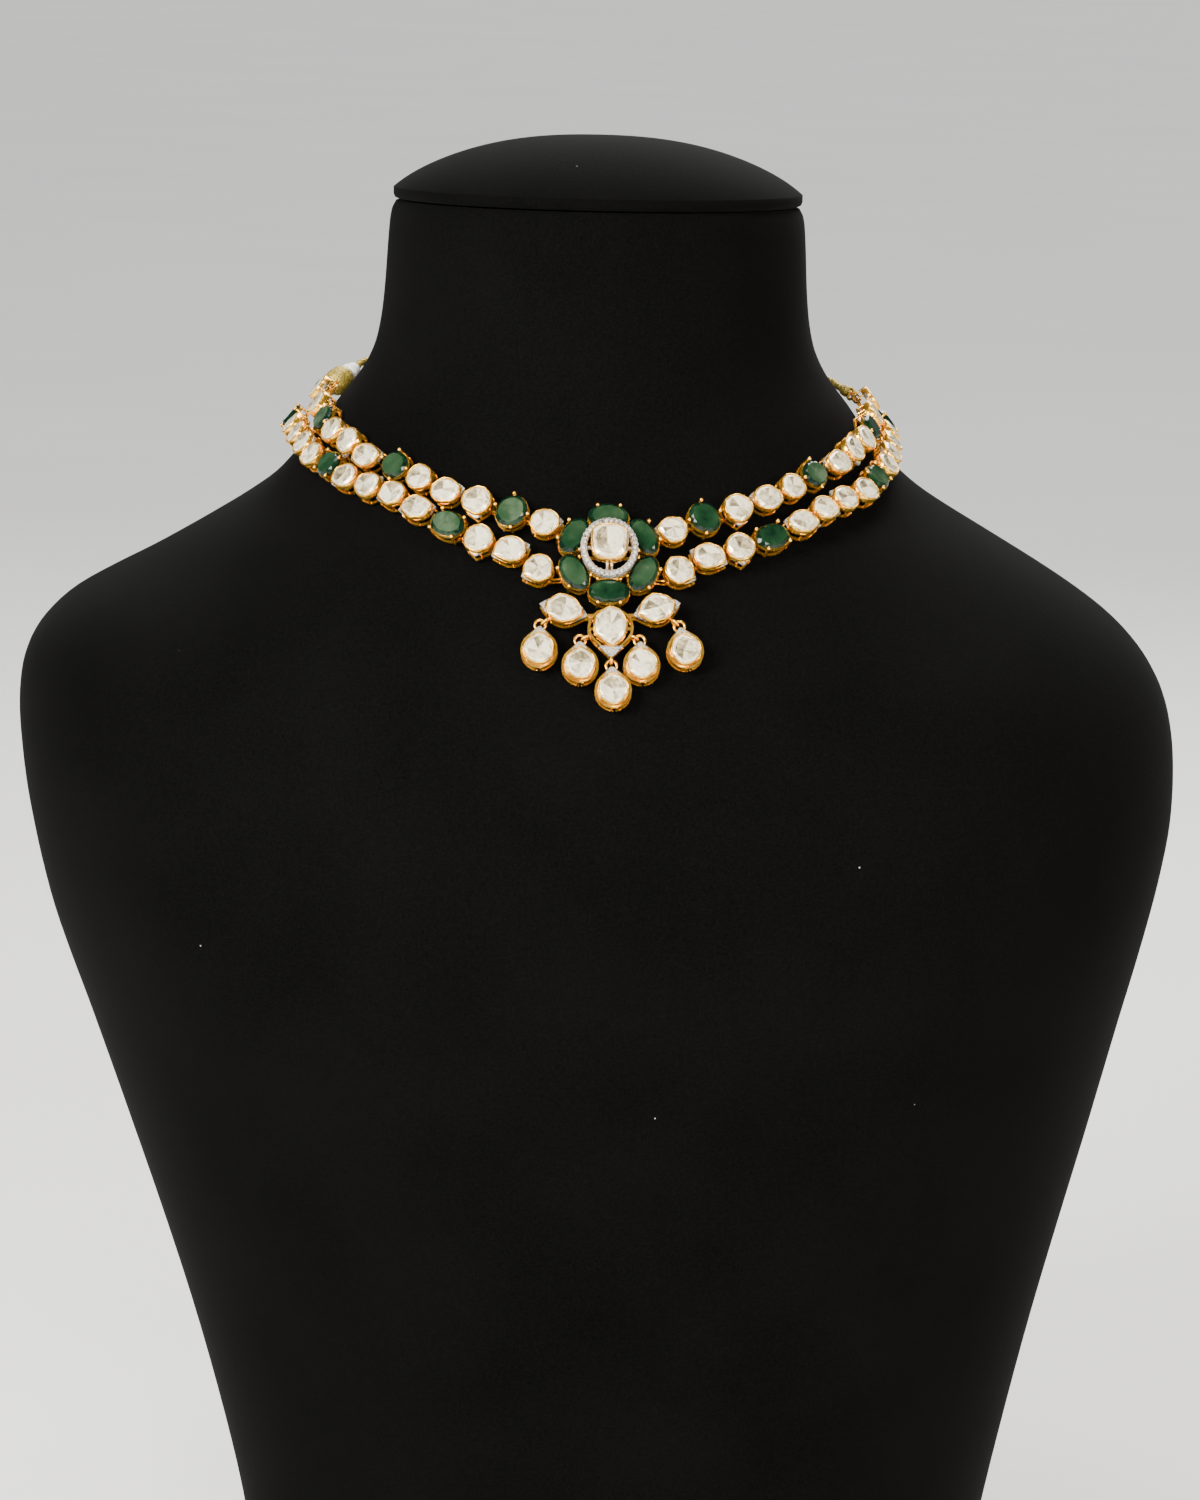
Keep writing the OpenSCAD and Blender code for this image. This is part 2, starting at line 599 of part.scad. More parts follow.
centre_rise = 0.3;
module centre_polki() {
    color(polki_white) at(flower_frame) translate([0, centre_shift])
        slice(centre_outline(0), centre_base + cup_floor + stone_rest, centre_base + cup_h + centre_rise, 0.6, 0);
}

// Pendant: two marquise frames and a pear frame, soldered together
pendant_z = flower_z - pendant_reach * flower_frame[UP].z;
pendant_angle = 2.95;
pendant_turn = 2.7;
pendant_out = skin_normal(pendant_angle, pendant_z);
pendant_frame = frame_from(
    skin(pendant_angle, pendant_z) + flower_lift * pendant_out,
    [cos(pendant_turn), 0, sin(pendant_turn)], pendant_out
);
wing_x = 11.8;
wing_y = 4.9;
wing_turn = 15.5;
wing_reach = 1.36;
wing = [4.05, 3.45, 0, 0, 180];
wing_posts = [50, 130, 230, 310];
pear = [5.35, 4.9, 0, 270, NONE];
pear_reach = 1.52;
pear_stone = [3.9, 4.5, 0, 270, NONE];
pear_stone_reach = 1.22;
pear_stone_y = 0.3;
pear_posts = [35, 145, 235, 305];
pear_seed = 5;
function pear_stone_outline(grow) = [for (t = angles_from(pear_stone, facets))
    [0, pear_stone_y] + ray(shape_r(pear_stone, 0, pear_stone_reach, t) * wobble(t, pear_seed) + grow, t, 1)];
module at_wing(side) {
    translate([side * wing_x, wing_y, 0]) rotate(side * wing_turn) children();
}
bridge = [2.2, 0.8];
bridge_at = [5.3, 3.2];
strut_at = [4.65, -0.45];
strut_l = 1.7;
pear_plate = [[-3, -5.2], [3, -5.2], [0.5, -7.8], [-0.5, -7.8]];
module pear_setting() {
    slab(rest_gap, rail_h) wire_ring(pear, pear_reach, 1);
    upper_works(pear, pear_reach, 1, pear_posts, pear_stone_outline(cup_wall + stone_gap), pear_stone_outline(stone_gap)) {
        slab(upper_level + plate_rise, rail_h) polygon(pear_plate);
        for (side = [-1, 1])
            translate([side * strut_at.x, strut_at.y]) slab(upper_level + 0.02, rail_h) square([strut_l, strut_w], center = true);
    }
    for (side = [-1, 1]) for (z = [rest_gap + 0.02, upper_level + 0.02])
        translate([side * bridge_at.x, bridge_at.y]) slab(z, rail_h) square(bridge, center = true);
}
module pendant_setting() {
    color(gold) at(pendant_frame) {
        for (side = [-1, 1]) at_wing(side) cup_setting(wing, wing_reach, 3 + side, 1, wing_posts);
        pear_setting();
        for (e = eyelets) eyelet(e);
    }
}
module pendant_polki(i) {
    side = i == 1 ? -1 : 1;
    color(polki_white) at(pendant_frame)
        if (i == 3)
            slice(pear_stone_outline(0), cup_base + cup_floor + stone_rest, cup_base + cup_h - stone_rest, crown_h, pear_seed);
        else at_wing(side) polki_stone(wing, 3 + side, 1);
}
// One loop holds the pendant's top wire to the lowest emerald's wire
module pendant_link() {
    p = place(flower_frame, [0, -petal_ring - petal[1] - claw_seat + rail_w / 2, rest_gap + rail_h / 2]);
    q = place(pendant_frame, [0, pear[1] + frame_grow - rail_w / 2, rest_gap + rail_h / 2]);
    color(gold) loop_between(p, q, flower_frame[OUT]);
}

// Eyelets for the drops. Columns: foot on the pendant's edge, direction away from it, length of the bar
EYE_X = 0;
EYE_Y = 1;
EYE_WAY = 2;
EYE_BAR = 3;
eyelets = [
    [-15.3, 2.65, 212, 1],
    [-5.35, -2.2, 202, 0.65],
    [0, -8.15, 270, 0],
    [5.25, -2.4, 335, 0.3],
    [15.05, 2.35, 322, 1.1]
];
eye_r = 1.05;
eye_wire = 0.7;
eye_out = 0.45;
bar_root = 0.7;
function along_eyelet(e, d) =
    [e[EYE_X] + d * cos(e[EYE_WAY]), e[EYE_Y] + d * sin(e[EYE_WAY]), eyelet_level];
module torus(r, thick) {
    rotate_extrude($fn = 40) translate([r, 0]) circle(thick / 2, $fn = 16);
}
module eyelet(e) {
    translate(along_eyelet(e, e[EYE_BAR] + eye_out)) rotate([0, 0, e[EYE_WAY]]) rotate([90, 0, 0]) torus(eye_r, eye_wire);
    translate([e[EYE_X], e[EYE_Y], 2.75]) rotate(e[EYE_WAY])
        translate([-bar_root, -eye_wire / 2, 0]) cube([e[EYE_BAR] + bar_root - 0.3, eye_wire, 1]);
}

// Drops. Columns: angle round the bust and height of the foot, below the neck's top
FOOT_A = 0;
FOOT_DROP = 1;
drop_feet = [
    [-2.9, 109.6],
    [0.15, 112.1],
    [2.05, 118.2],
    [4.8, 112.6],
    [9.25, 108.9]
];
drop_shape = [drop_a, drop_b, 0, 90, NONE];
drop_margin = [0.65, 0.75];
drop_stone = [drop_a - drop_margin.x, drop_b - drop_margin.y, 0, 90, NONE];
drop_reach = 1.3;
tip_under_ring = 0.35;
drop_middle = -(tip_under_ring + drop_reach * (drop_b + frame_grow));
ring_slack = 0.15;
function ring_centre(i) =
    let (e = eyelets[i - 1])
    place(pendant_frame, along_eyelet(e, e[EYE_BAR] + eye_out + ring_slack + ring_r));
function drop_frame(i) =
    let (
        angle = drop_feet[i - 1][FOOT_A],
        z = neck_top - drop_feet[i - 1][FOOT_DROP],
        foot = skin(angle, z),
        out_0 = skin_normal(angle, z),
        top = ring_centre(i),
        up = unit(top - ring_level * out_0 - foot),
        out = unit(out_0 - (out_0 * up) * up)
    )
    [top - ring_level * out, cross(up, out), up, out];
drop_posts = [25, 155, 262, 278];
notch_w = 0.5;
drop_strut_l = 1.1;
drop_plate = [[-2.4, 3.5], [2.4, 3.5], [0.4, 5.9], [-0.4, 5.9]];
module drop_setting(i) {
    color(gold) at(drop_frame(i)) {
        translate([0, 0, ring_level]) torus(ring_r, ring_wire);
        translate([0, drop_middle, 0]) {
            slab(rest_gap, rail_h) difference() {
                wire_ring(drop_shape, drop_reach, 1);
                translate([-notch_w / 2, -drop_b - 1]) square([notch_w, 1.5]);
            }
            upper_works(drop_shape, drop_reach, 1, drop_posts,
                stone_outline(drop_stone, 20 + i, cup_wall + stone_gap, 1), stone_outline(drop_stone, 20 + i, stone_gap, 1)) {
                slab(upper_level + plate_rise, rail_h) polygon(drop_plate);
                for (side = [-1, 1])
                    translate([side * (drop_a - 0.2), 0]) slab(upper_level + 0.02, rail_h)
                        square([drop_strut_l, strut_w], center = true);
            }
        }
    }
}
module drop_polki(i) {
    color(polki_white) at(drop_frame(i)) translate([0, drop_middle, 0]) polki_stone(drop_stone, 20 + i, 1);
}

// End bars: a three-cornered frame that gathers the two rows
bar_gap = 0.9;
bar_point = 8.6;
bar_w = 0.7;
bar_h = 0.7;
bar_over = 2.9;
function row_end(row, side) =
    let (n = len(links_of(row)) - 1)
    wire_point(links_of(row)[n], link_frame(row, side, n), side, 1, end_height);
function bar_frame(side) =
    let (
        top = row_end(UPPER, side),
        low = row_end(LOWER, side),
        a = link_frame(UPPER, side, len(upper_links) - 1),
        b = link_frame(LOWER, side, len(lower_links) - 1),
        up = unit(top - low),
        out = unit((a[OUT] + b[OUT]) - ((a[OUT] + b[OUT]) * up) * up),
        right = cross(up, out)
    )
    [(top + low) / 2 + side * bar_gap * right, right, up, out];
function bar_half(side) = norm(row_end(UPPER, side) - row_end(LOWER, side)) / 2;
function end_joint(row, side) =
    place(bar_frame(side), [side * bar_w / 2, (row == UPPER ? 1 : -1) * bar_half(side), 0]);
module end_bar(side) {
    half = bar_half(side) + bar_over;
    color(gold) at(bar_frame(side)) translate([0, 0, -bar_h / 2]) linear_extrude(bar_h) difference() {
        polygon([[0, half], [0, -half], [side * bar_point, -1.9], [side * bar_point, 1.9]]);
        polygon([[side * bar_w, half - 1.3 * bar_w], [side * bar_w, -half + 1.3 * bar_w],
            [side * (bar_point - bar_w), -1.3], [side * (bar_point - bar_w), 1.3]]);
    }
}

// Tie cord: a bead wound with gilt thread on the left, a cord round the nape, a small knot on the right
// Both hang in the end bars' openings by a loop of the cord.
// Columns: direction of the axis, radius of the loop, thickness of the loop, half length, radius
BEAD_WAY = 0;
LOOP_R = 1;
LOOP_D = 2;
HALF = 3;
BEAD_R = 4;
bead = [[0.58, 0.7, 0.42], 1.6, 0.9, 3.7, 3.6];
knot = [[-0.43, 0.88, 0.19], 1.45, 0.8, 1.9, 1.5];
hook = 0.15;
function loop_frame(side, b) =
    let (f = bar_frame(side))
    frame_from(place(f, [side * (bar_point + hook), 0, 0]), b[BEAD_WAY],
        unit(f[OUT] - (f[OUT] * unit(b[BEAD_WAY])) * unit(b[BEAD_WAY])));
function bead_at(side, b, along) =
    place(loop_frame(side, b), [b[LOOP_R] + b[HALF] - b[LOOP_D] / 2 + along, 0, 0]);
module loop_and_barrel(side, b) {
    at(loop_frame(side, b)) {
        rotate([90, 0, 0]) torus(b[LOOP_R], b[LOOP_D]);
        translate([b[LOOP_R] + b[HALF] - b[LOOP_D] / 2, 0, 0]) rotate([0, 90, 0])
            rotate_extrude($fn = 48) polygon(concat([[0, -b[HALF]]], barrel(b), [[0, b[HALF]]]));
    }
}
barrel_steps = 10;
function barrel(b) = [for (i = [0:barrel_steps]) let (t = 2 * i / barrel_steps - 1)
    [b[BEAD_R] * pow(1 - pow(abs(t), 3.4) * 0.82, 0.5), b[HALF] * t]];

// Route of the cord's middle round the nape. Columns: angle, height, distance from the skin
nape = [
    [238, 342.2, 2.6], [227, 344.4, 1.7], [212, 346, 1.4], [196, 347.2, 1.4], [180, 347.6, 1.4],
    [164, 346.3, 1.4], [148, 344.5, 1.4], [134, 342.2, 1.7], [125, 339.9, 2.4]
];
cord_gap = 0.2;
cord_straight = 3.4;
function cord_start(side, b) = [for (i = [0:2]) bead_at(side, b, b[HALF] + cord_gap + i * cord_straight)];
function reversed(list) = [for (i = [len(list) - 1:-1:0]) list[i]];
route = concat(
    cord_start(-1, bead),
    [for (p = nape) skin(p[0], p[1]) + p[2] * skin_normal(p[0], p[1])],
    reversed(cord_start(1, knot))
);
cord_sides = 8;
cord_steps = 4;
module cord_tube(points) {
    n = len(points);
    along = [for (i = [0:n - 1]) unit(points[min(i + 1, n - 1)] - points[max(i - 1, 0)])];
    rings = [for (i = [0:n - 1]) let (u = unit(cross(along[i], [0, 0, 1])), v = cross(along[i], u))
        for (k = [0:cord_sides - 1]) points[i] + cord_d / 2 * (cos(360 * k / cord_sides) * u + sin(360 * k / cord_sides) * v)];
    polyhedron(rings, band_faces(cord_sides, n), convexity = 8);
}
// Points of a smooth curve through the route
function curve(p, i, t) =
    let (a = p[max(i - 1, 0)], b = p[i], c = p[i + 1], d = p[min(i + 2, len(p) - 1)])
    0.5 * (2 * b + (c - a) * t + (2*a - 5*b + 4*c - d) * pow(t, 2) + (3*b - a - 3*c + d) * pow(t, 3));
module dori_cord() {
    points = [for (i = [0:len(route) - 2]) for (k = [0:cord_steps - 1]) curve(route, i, k / cord_steps)];
    color(zari) cord_tube(concat(points, [route[len(route) - 1]]));
}
module dori_bead() {
    color(zari) loop_and_barrel(-1, bead);
}
// White thread bound round the cord behind the bead
thread_length = 3.2;
thread_wide = 2.5;
thread_narrow = 1.7;
thread_slack = 0.15;
module dori_thread() {
    r = cord_d / 2 + thread_slack;
    color(thread_white) at(loop_frame(-1, bead))
        translate([bead[LOOP_R] + 2 * bead[HALF] - bead[LOOP_D] / 2 + 0.4, 0, 0]) rotate([0, 90, 0])
            rotate_extrude($fn = 32) polygon([
                [r, 0], [thread_wide, 0], [thread_wide, 0.8], [thread_narrow, thread_length], [r, thread_length]
            ]);
}
module dori_knot() {
    color(zari) loop_and_barrel(1, knot);
}

// Bust. The neck's top slants down to the back, and the slant fades out below it.
top_sink = 1.45;
slant_fades = 30;
function sunk(p) = p - [0, 0, ease(1 - (neck_top - p.z) / slant_fades) * (top_sink + (p.y - neck_axis_y) * tan(top_slant))];
module neck_bust() {
    heights = concat(
        [for (i = [0:len(sections) - 2]) for (k = [0:rings_between - 1])
            neck_top - (sections[i][DROP] + (sections[i + 1][DROP] - sections[i][DROP]) * k / rings_between)],
        [0]
    );
    m = len(heights);
    points = [for (i = [m - 1:-1:0]) for (k = [0:bust_sides - 1]) sunk(skin(360 * k / bust_sides, heights[i]))];
    color(bust_black) polyhedron(points, band_faces(bust_sides, m), convexity = 4);
}
dome_steps = 12;
dome_power = 2.3;
rim_soft = 0.3;
plug_inset = 5;
plug_clear = 0.1;
plug_bite = 0.5;
module neck_cap() {
    profile = concat(
        [[0, 0], [cap_r - 0.8, 0], [cap_r - 0.2, rim_soft], [cap_r, 0.9], [cap_r, cap_rim - 1]],
        [for (i = [dome_steps:-1:0]) let (share = i / dome_steps)
            [(cap_r - rim_soft) * share, cap_rim + cap_rise * (1 - pow(share, dome_power)) - rim_soft * pow(share, 9)]]
    );
    color(bust_black)
        translate([section_at(neck_top)[SHIFT], neck_axis_y, neck_top + cap_seam - top_sink]) rotate([-top_slant, 0, 0]) {
            rotate_extrude($fn = 96) polygon(profile);
            translate([0, 0, plug_clear - cap_seam])
                cylinder(r = cap_r - plug_inset, h = cap_seam - plug_clear + plug_bite, $fn = 96);
        }
}

neck_bust();
neck_cap();
row_settings(UPPER, -1);  // upper_left_settings
row_polki(UPPER, -1);  // upper_left_polki
row_settings(UPPER, 1);  // upper_right_settings
row_polki(UPPER, 1);  // upper_right_polki
row_settings(LOWER, -1);  // lower_left_settings
row_polki(LOWER, -1);  // lower_left_polki
row_settings(LOWER, 1);  // lower_right_settings
row_polki(LOWER, 1);  // lower_right_polki
for (k = [1:3]) {
    row_emerald(UPPER, -1, k);
    row_emerald(UPPER, 1, k);
    row_emerald(LOWER, -1, k);
    row_emerald(LOWER, 1, k);
}
flower_setting();
halo_setting();
centre_polki();
for (i = [1:6]) flower_emerald(i);
pendant_setting();
pendant_link();
for (i = [1:3]) pendant_polki(i);
for (i = [1:5]) {
    drop_setting(i);
    drop_polki(i);
}
end_bar(-1);  // end_bar_left
end_bar(1);  // end_bar_right
dori_cord();
dori_bead();
dori_thread();
dori_knot();
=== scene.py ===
# %% [markdown]
# # A polki necklace on a black neck bust
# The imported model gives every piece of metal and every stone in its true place. This lesson
# dresses it: first the camera and the line of the tie cord, then the finishes, the cord with its
# bead, knot and binding, the bust, the stones, the small diamonds, and last the CAD metal, the
# floor and the light.

import math
import random

import bmesh
import bpy
import numpy as np
from mathutils import Matrix, Vector


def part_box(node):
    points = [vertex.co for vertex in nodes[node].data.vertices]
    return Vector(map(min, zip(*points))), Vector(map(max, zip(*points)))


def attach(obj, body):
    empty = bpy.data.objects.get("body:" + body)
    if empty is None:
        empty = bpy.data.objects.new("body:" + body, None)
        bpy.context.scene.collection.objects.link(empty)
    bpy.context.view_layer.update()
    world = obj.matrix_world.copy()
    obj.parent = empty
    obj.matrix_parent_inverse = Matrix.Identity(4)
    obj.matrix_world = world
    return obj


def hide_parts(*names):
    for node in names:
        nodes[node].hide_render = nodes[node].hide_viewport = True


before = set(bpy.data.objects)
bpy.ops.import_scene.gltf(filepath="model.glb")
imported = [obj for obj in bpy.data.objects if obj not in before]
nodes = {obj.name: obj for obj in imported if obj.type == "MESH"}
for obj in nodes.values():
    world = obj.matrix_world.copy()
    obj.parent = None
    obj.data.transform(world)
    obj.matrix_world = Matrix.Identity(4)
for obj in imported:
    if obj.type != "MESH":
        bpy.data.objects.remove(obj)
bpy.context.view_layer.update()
MM = 0.001
WELD = 0.002 * MM

# %% [markdown]
# ## The camera
# A long lens from about 1.3 m keeps the neck and the shoulders in their true proportions. The
# camera looks down a little and leans by just over a degree, as a hand-held one does.

# %% Camera
PITCH, ROLL = math.radians(10.5), math.radians(1.3)
LENS, SENSOR = 120, 36
ahead = Vector((0, math.cos(PITCH), -math.sin(PITCH)))
overhead = Vector((0, math.sin(PITCH), math.cos(PITCH)))
across = Vector((1, 0, 0))
right = math.cos(ROLL) * across + math.sin(ROLL) * overhead
up = -math.sin(ROLL) * across + math.cos(ROLL) * overhead
camera_data = bpy.data.cameras.new("camera")
camera_data.lens, camera_data.sensor_width = LENS, SENSOR
camera_data.clip_start, camera_data.clip_end = 0.1, 100
camera = bpy.data.objects.new("camera", camera_data)
bpy.context.scene.collection.objects.link(camera)
camera.matrix_world = Matrix.Translation((-0.00784, -1.32654, 0.48764)) @ Matrix(
    (right, up, -ahead)
).transposed().to_4x4()
bpy.context.scene.camera = camera
print("camera at", [round(c, 3) for c in camera.location])

# %% [markdown]
# ## Gathering a mesh
# A necklace is hundreds of small forms. Each kind is gathered in one heap of corners and faces
# and made into one object, because a few joined meshes are quick to handle and to render. Each
# face also keeps a tone from 0 to 1, which a finish may read to paint one facet lighter or darker
# than the next: painted reflection and painted shade on the facets.

# %% A heap of corners and faces
class Heap:
    def __init__(self):
        self.points, self.faces, self.smooth, self.tones = [], [], [], []

    def add(self, points, faces, smooth=False, tones=1.0):
        start = len(self.points)
        self.points += [tuple(p) for p in points]
        self.faces += [tuple(start + i for i in f) for f in faces]
        self.smooth += [smooth] * len(faces)
        self.tones += tones if isinstance(tones, list) else [tones] * len(faces)

    def piece(self, name, material, slot, replaces=()):
        mesh = bpy.data.meshes.new(name)
        mesh.from_pydata(self.points, [], self.faces)
        mesh.polygons.foreach_set("use_smooth", self.smooth)
        mesh.attributes.new("tone", "FLOAT", "FACE").data.foreach_set("value", self.tones)
        mesh.materials.append(material)
        mesh.validate()
        made = bpy.data.objects.new(name, mesh)
        bpy.context.scene.collection.objects.link(made)
        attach(made, "root")
        if replaces:
            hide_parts(*replaces)
        print(name, "faces:", len(mesh.polygons))
        return made


def bands(count, rings, closed=False):
    """Faces between rings of the same number of corners; closed joins the last ring to the first."""
    faces = []
    for r in range(rings if closed else rings - 1):
        a, b = r * count, (r + 1) % rings * count
        faces += [(a + i, a + (i + 1) % count, b + (i + 1) % count, b + i) for i in range(count)]
    return faces


def welded(node):
    """A node's mesh with the doubled corners of its sharp edges made one."""
    mesh = bmesh.new()
    mesh.from_mesh(nodes[node].data)
    bmesh.ops.remove_doubles(mesh, verts=mesh.verts, dist=WELD)
    mesh.normal_update()
    return mesh


def walk_rings(mesh, first):
    """Rings of a skinned form, found by walking its edges away from the first ring."""
    rings, seen, now = [], set(first), list(first)
    while now:
        rings.append(now)
        near = dict.fromkeys(e.other_vert(v) for v in now for e in v.link_edges)
        now = [v for v in near if v not in seen]
        seen.update(now)
    return rings


# %% [markdown]
# ## The tie cord
# The dori is three olive-gold strands twisted together, about 2 mm thick. It leaves the wound
# bead on the left, lies round the nape and ends in the small knot on the right, so its whole
# length is seen from behind and none is put away. Its line is the middle of the CAD tube. The
# strands are made as one tube with a three-lobed section that turns as it goes: real grooves,
# where a bump would vanish at the outline.

# %% Line of the cord
CORD_D = 2 * MM
TUBE_SIDES = 8
BEAD_WAY = Vector((0.58, 0.7, 0.42)).normalized()
KNOT_WAY = Vector((-0.43, 0.88, 0.19)).normalized()
lowest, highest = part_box("dori_bead")
bead_middle = (lowest + highest) / 2
tube = welded("dori_cord")
first_ring = sorted(tube.verts, key=lambda v: (v.co - bead_middle).length)[:TUBE_SIDES]
cord_line = [sum((v.co for v in ring), Vector()) / len(ring) for ring in walk_rings(tube, first_ring)]
tube.free()


# %% Sweep a section along a line
def smooth_line(points, steps, closed=False):
    """Points of a smooth curve through the given ones."""
    made, n = [], len(points)
    for i in range(n if closed else n - 1):
        if closed:
            a, b, c, d = (points[(i + k) % n] for k in (-1, 0, 1, 2))
        else:
            a, b, c, d = points[max(i - 1, 0)], points[i], points[i + 1], points[min(i + 2, n - 1)]
        for k in range(steps):
            t = k / steps
            square, cube = 2 * a - 5 * b + 4 * c - d, 3 * b - a - 3 * c + d
            made.append(0.5 * (2 * b + (c - a) * t + square * t**2 + cube * t**3))
    return made if closed else made + [points[-1]]


def tube_faces(sides, rings):
    """The faces of a tube with both ends closed."""
    ends = [tuple(reversed(range(sides))), tuple(range((rings - 1) * sides, rings * sides))]
    return bands(sides, rings) + ends


def sweep(heap, line, radius, sides, closed=False, first=Vector((0, 0, 1))):
    """A tube along a line; radius is a function of the angle round it and the length along it."""
    n, points, along = len(line), [], 0
    side = first
    for i, p in enumerate(line):
        before = line[i - 1] if closed or i else line[0]
        after = line[(i + 1) % n] if closed or i < n - 1 else line[-1]
        way = (after - before).normalized()
        side = (side - side.dot(way) * way).normalized()
        other = way.cross(side)
        for k in range(sides):
            turn = 2 * math.pi * k / sides
            points.append(p + radius(turn, along) * (math.cos(turn) * side + math.sin(turn) * other))
        along += (after - p).length
    heap.add(points, bands(sides, n, closed=True) if closed else tube_faces(sides, n), True)


STRANDS, CREST, GROOVE = 3, 1.04, 0.24


def strands(thick, pitch):
    """Radius of a twisted cord: one lobe for each strand, turning once in each pitch."""

    def radius(turn, along):
        wave = abs(math.cos(STRANDS / 2 * (turn - 2 * math.pi * along / pitch)))
        return thick / 2 * (CREST - GROOVE + GROOVE * wave)

    return radius


# %% [markdown]
# ## Shader maths
# A finish is a sum of simple patterns. One small class wraps a socket, so that a pattern is
# written as an ordinary expression, and one method makes every other kind of node.

# %% Sockets that can be added and multiplied
class Value:
    def __init__(self, finish, socket):
        self.finish, self.socket = finish, socket

    def maths(self, operation, a, b):
        return self.finish.node("ShaderNodeMath", {"operation": operation}, {0: a, 1: b})

    def __add__(self, other):
        return self.maths("ADD", self, other)

    def __mul__(self, other):
        return self.maths("MULTIPLY", self, other)

    def __sub__(self, other):
        return self.maths("SUBTRACT", self, other)

    def __rsub__(self, other):
        return self.maths("SUBTRACT", other, self)

    def __gt__(self, other):
        return self.maths("GREATER_THAN", self, other)

    def __lt__(self, other):
        return self.maths("LESS_THAN", self, other)

    __radd__, __rmul__ = __add__, __mul__


class Finish:
    """A material whose Principled shader takes plain numbers or patterns."""

    def __init__(self, name, **constants):
        self.material = bpy.data.materials.new(name)
        self.material.use_nodes = True
        self.tree = self.material.node_tree
        self.shader = self.tree.nodes["Principled BSDF"]
        self.place = self.node("ShaderNodeTexCoord", output="Object")
        for socket, constant in constants.items():
            self.shader.inputs[socket.replace("_", " ")].default_value = constant

    def node(self, kind, settings=None, inputs=None, output=0):
        made = self.tree.nodes.new(kind)
        for name, setting in (settings or {}).items():
            if name == "stops":
                while len(made.color_ramp.elements) < len(setting):
                    made.color_ramp.elements.new(0.5)
                for element, (place, colour) in zip(made.color_ramp.elements, setting):
                    element.position, element.color = place, (*colour, 1)
            else:
                setattr(made, name, setting)
        for socket, given in (inputs or {}).items():
            if isinstance(given, Value):
                self.tree.links.new(given.socket, made.inputs[socket])
            else:
                made.inputs[socket].default_value = given
        return Value(self, made.outputs[output])

    def noise(self, scale, detail=2):
        return self.node("ShaderNodeTexNoise", {}, {"Vector": self.place, "Scale": scale, "Detail": detail})

    def tone(self):
        return self.node("ShaderNodeAttribute", {"attribute_name": "tone"}, output="Fac")

    def cells(self, scale, feature="F1", output="Distance"):
        settings = {"feature": feature}
        return self.node("ShaderNodeTexVoronoi", settings, {"Vector": self.place, "Scale": scale}, output)

    def ramp(self, factor, *stops):
        return self.node("ShaderNodeValToRGB", {"stops": stops}, {0: factor})

    def mix(self, share, a, b):
        first, second = (colour if isinstance(colour, Value) else (*colour, 1) for colour in (a, b))
        return self.node("ShaderNodeMix", {"data_type": "RGBA"}, {0: share, 6: first, 7: second}, output=2)

    def feed(self, socket, value):
        self.tree.links.new(value.socket, self.shader.inputs[socket])

    def bump(self, height, distance, strength):
        inputs = {"Height": height, "Distance": distance, "Strength": strength}
        self.feed("Normal", self.node("ShaderNodeBump", {}, inputs))


# %% [markdown]
# ### Black flock
# The bust is moulded and flocked: short black fibres that drink the light, a little greyer where
# they catch it, with some white lint. A fine noise stands for the pile and a coarse one for
# the way it was brushed. Sheen gives the soft edge that flock has and paint has not.

# %% Flock
flock = Finish(
    "black_flock", Roughness=0.95, Specular_IOR_Level=0.03, Sheen_Weight=0.006, Sheen_Roughness=0.5
)
pile = flock.noise(1500, 3)
brushed = flock.noise(22, 3)
BLACK, DUSTY = (0.0006, 0.0006, 0.0006), (0.0027, 0.0027, 0.0025)
shade = flock.ramp(pile * 0.6 + brushed * 0.4, (0.3, BLACK), (0.75, DUSTY))
LINT_CELLS, LINT = 120, (0.3, 0.29, 0.27)
lint_cell = flock.node("ShaderNodeSeparateColor", {}, {0: flock.cells(LINT_CELLS, output="Color")})
lint = (0.05 * flock.noise(900) > flock.cells(LINT_CELLS)) * (lint_cell > 0.93)
flock.feed("Base Color", flock.mix(lint, shade, LINT))
flock.bump(pile + 0.4 * flock.noise(520, 2), 0.18 * MM, 0.6)
print("finish:", flock.material.name)

# %% [markdown]
# ### Gold, white metal and small diamonds
# The plating is a warm yellow that turns orange in the deep walls. It is polished by hand, so
# its gloss varies and its surface waves a little: that is what tells metal from yellow plastic.
# The white metal is duller and greyer, and the small diamonds are hard facets painted bright or
# dark as painted glints and painted dark reflections.

# %% Metals
ORANGE, YELLOW = (0.8, 0.36, 0.022), (1.0, 0.6, 0.085)
gold = Finish("gold_plating", Metallic=0.92)
wave = gold.noise(420, 2)
gold.feed("Base Color", gold.ramp(wave, (0.3, ORANGE), (0.7, YELLOW)))
gold.feed("Roughness", 0.12 + 0.2 * gold.noise(900, 3))
gold.bump(wave, 0.05 * MM, 0.5)

DULL, BRIGHT = (0.24, 0.21, 0.18), (0.8, 0.75, 0.68)
white_metal = Finish("white_metal", Metallic=0.75)
grey = white_metal.noise(1500, 2)
white_metal.feed("Base Color", white_metal.ramp(grey, (0.3, DULL), (0.7, BRIGHT)))
white_metal.feed("Roughness", 0.18 + 0.2 * grey)

# Painted glints: each small diamond's facet is painted dark or bright by its tone, as painted reflection
PAINTED_DARK_FACET, PAINTED_LIT_FACET = (0.1, 0.085, 0.065), (1.0, 0.95, 0.87)
diamond = Finish("small_diamonds", Metallic=0.6, Roughness=0.05)
diamond.feed("Base Color", diamond.ramp(diamond.tone(), (0.0, PAINTED_DARK_FACET), (1.0, PAINTED_LIT_FACET)))
print("finishes:", gold.material.name, white_metal.material.name, diamond.material.name)
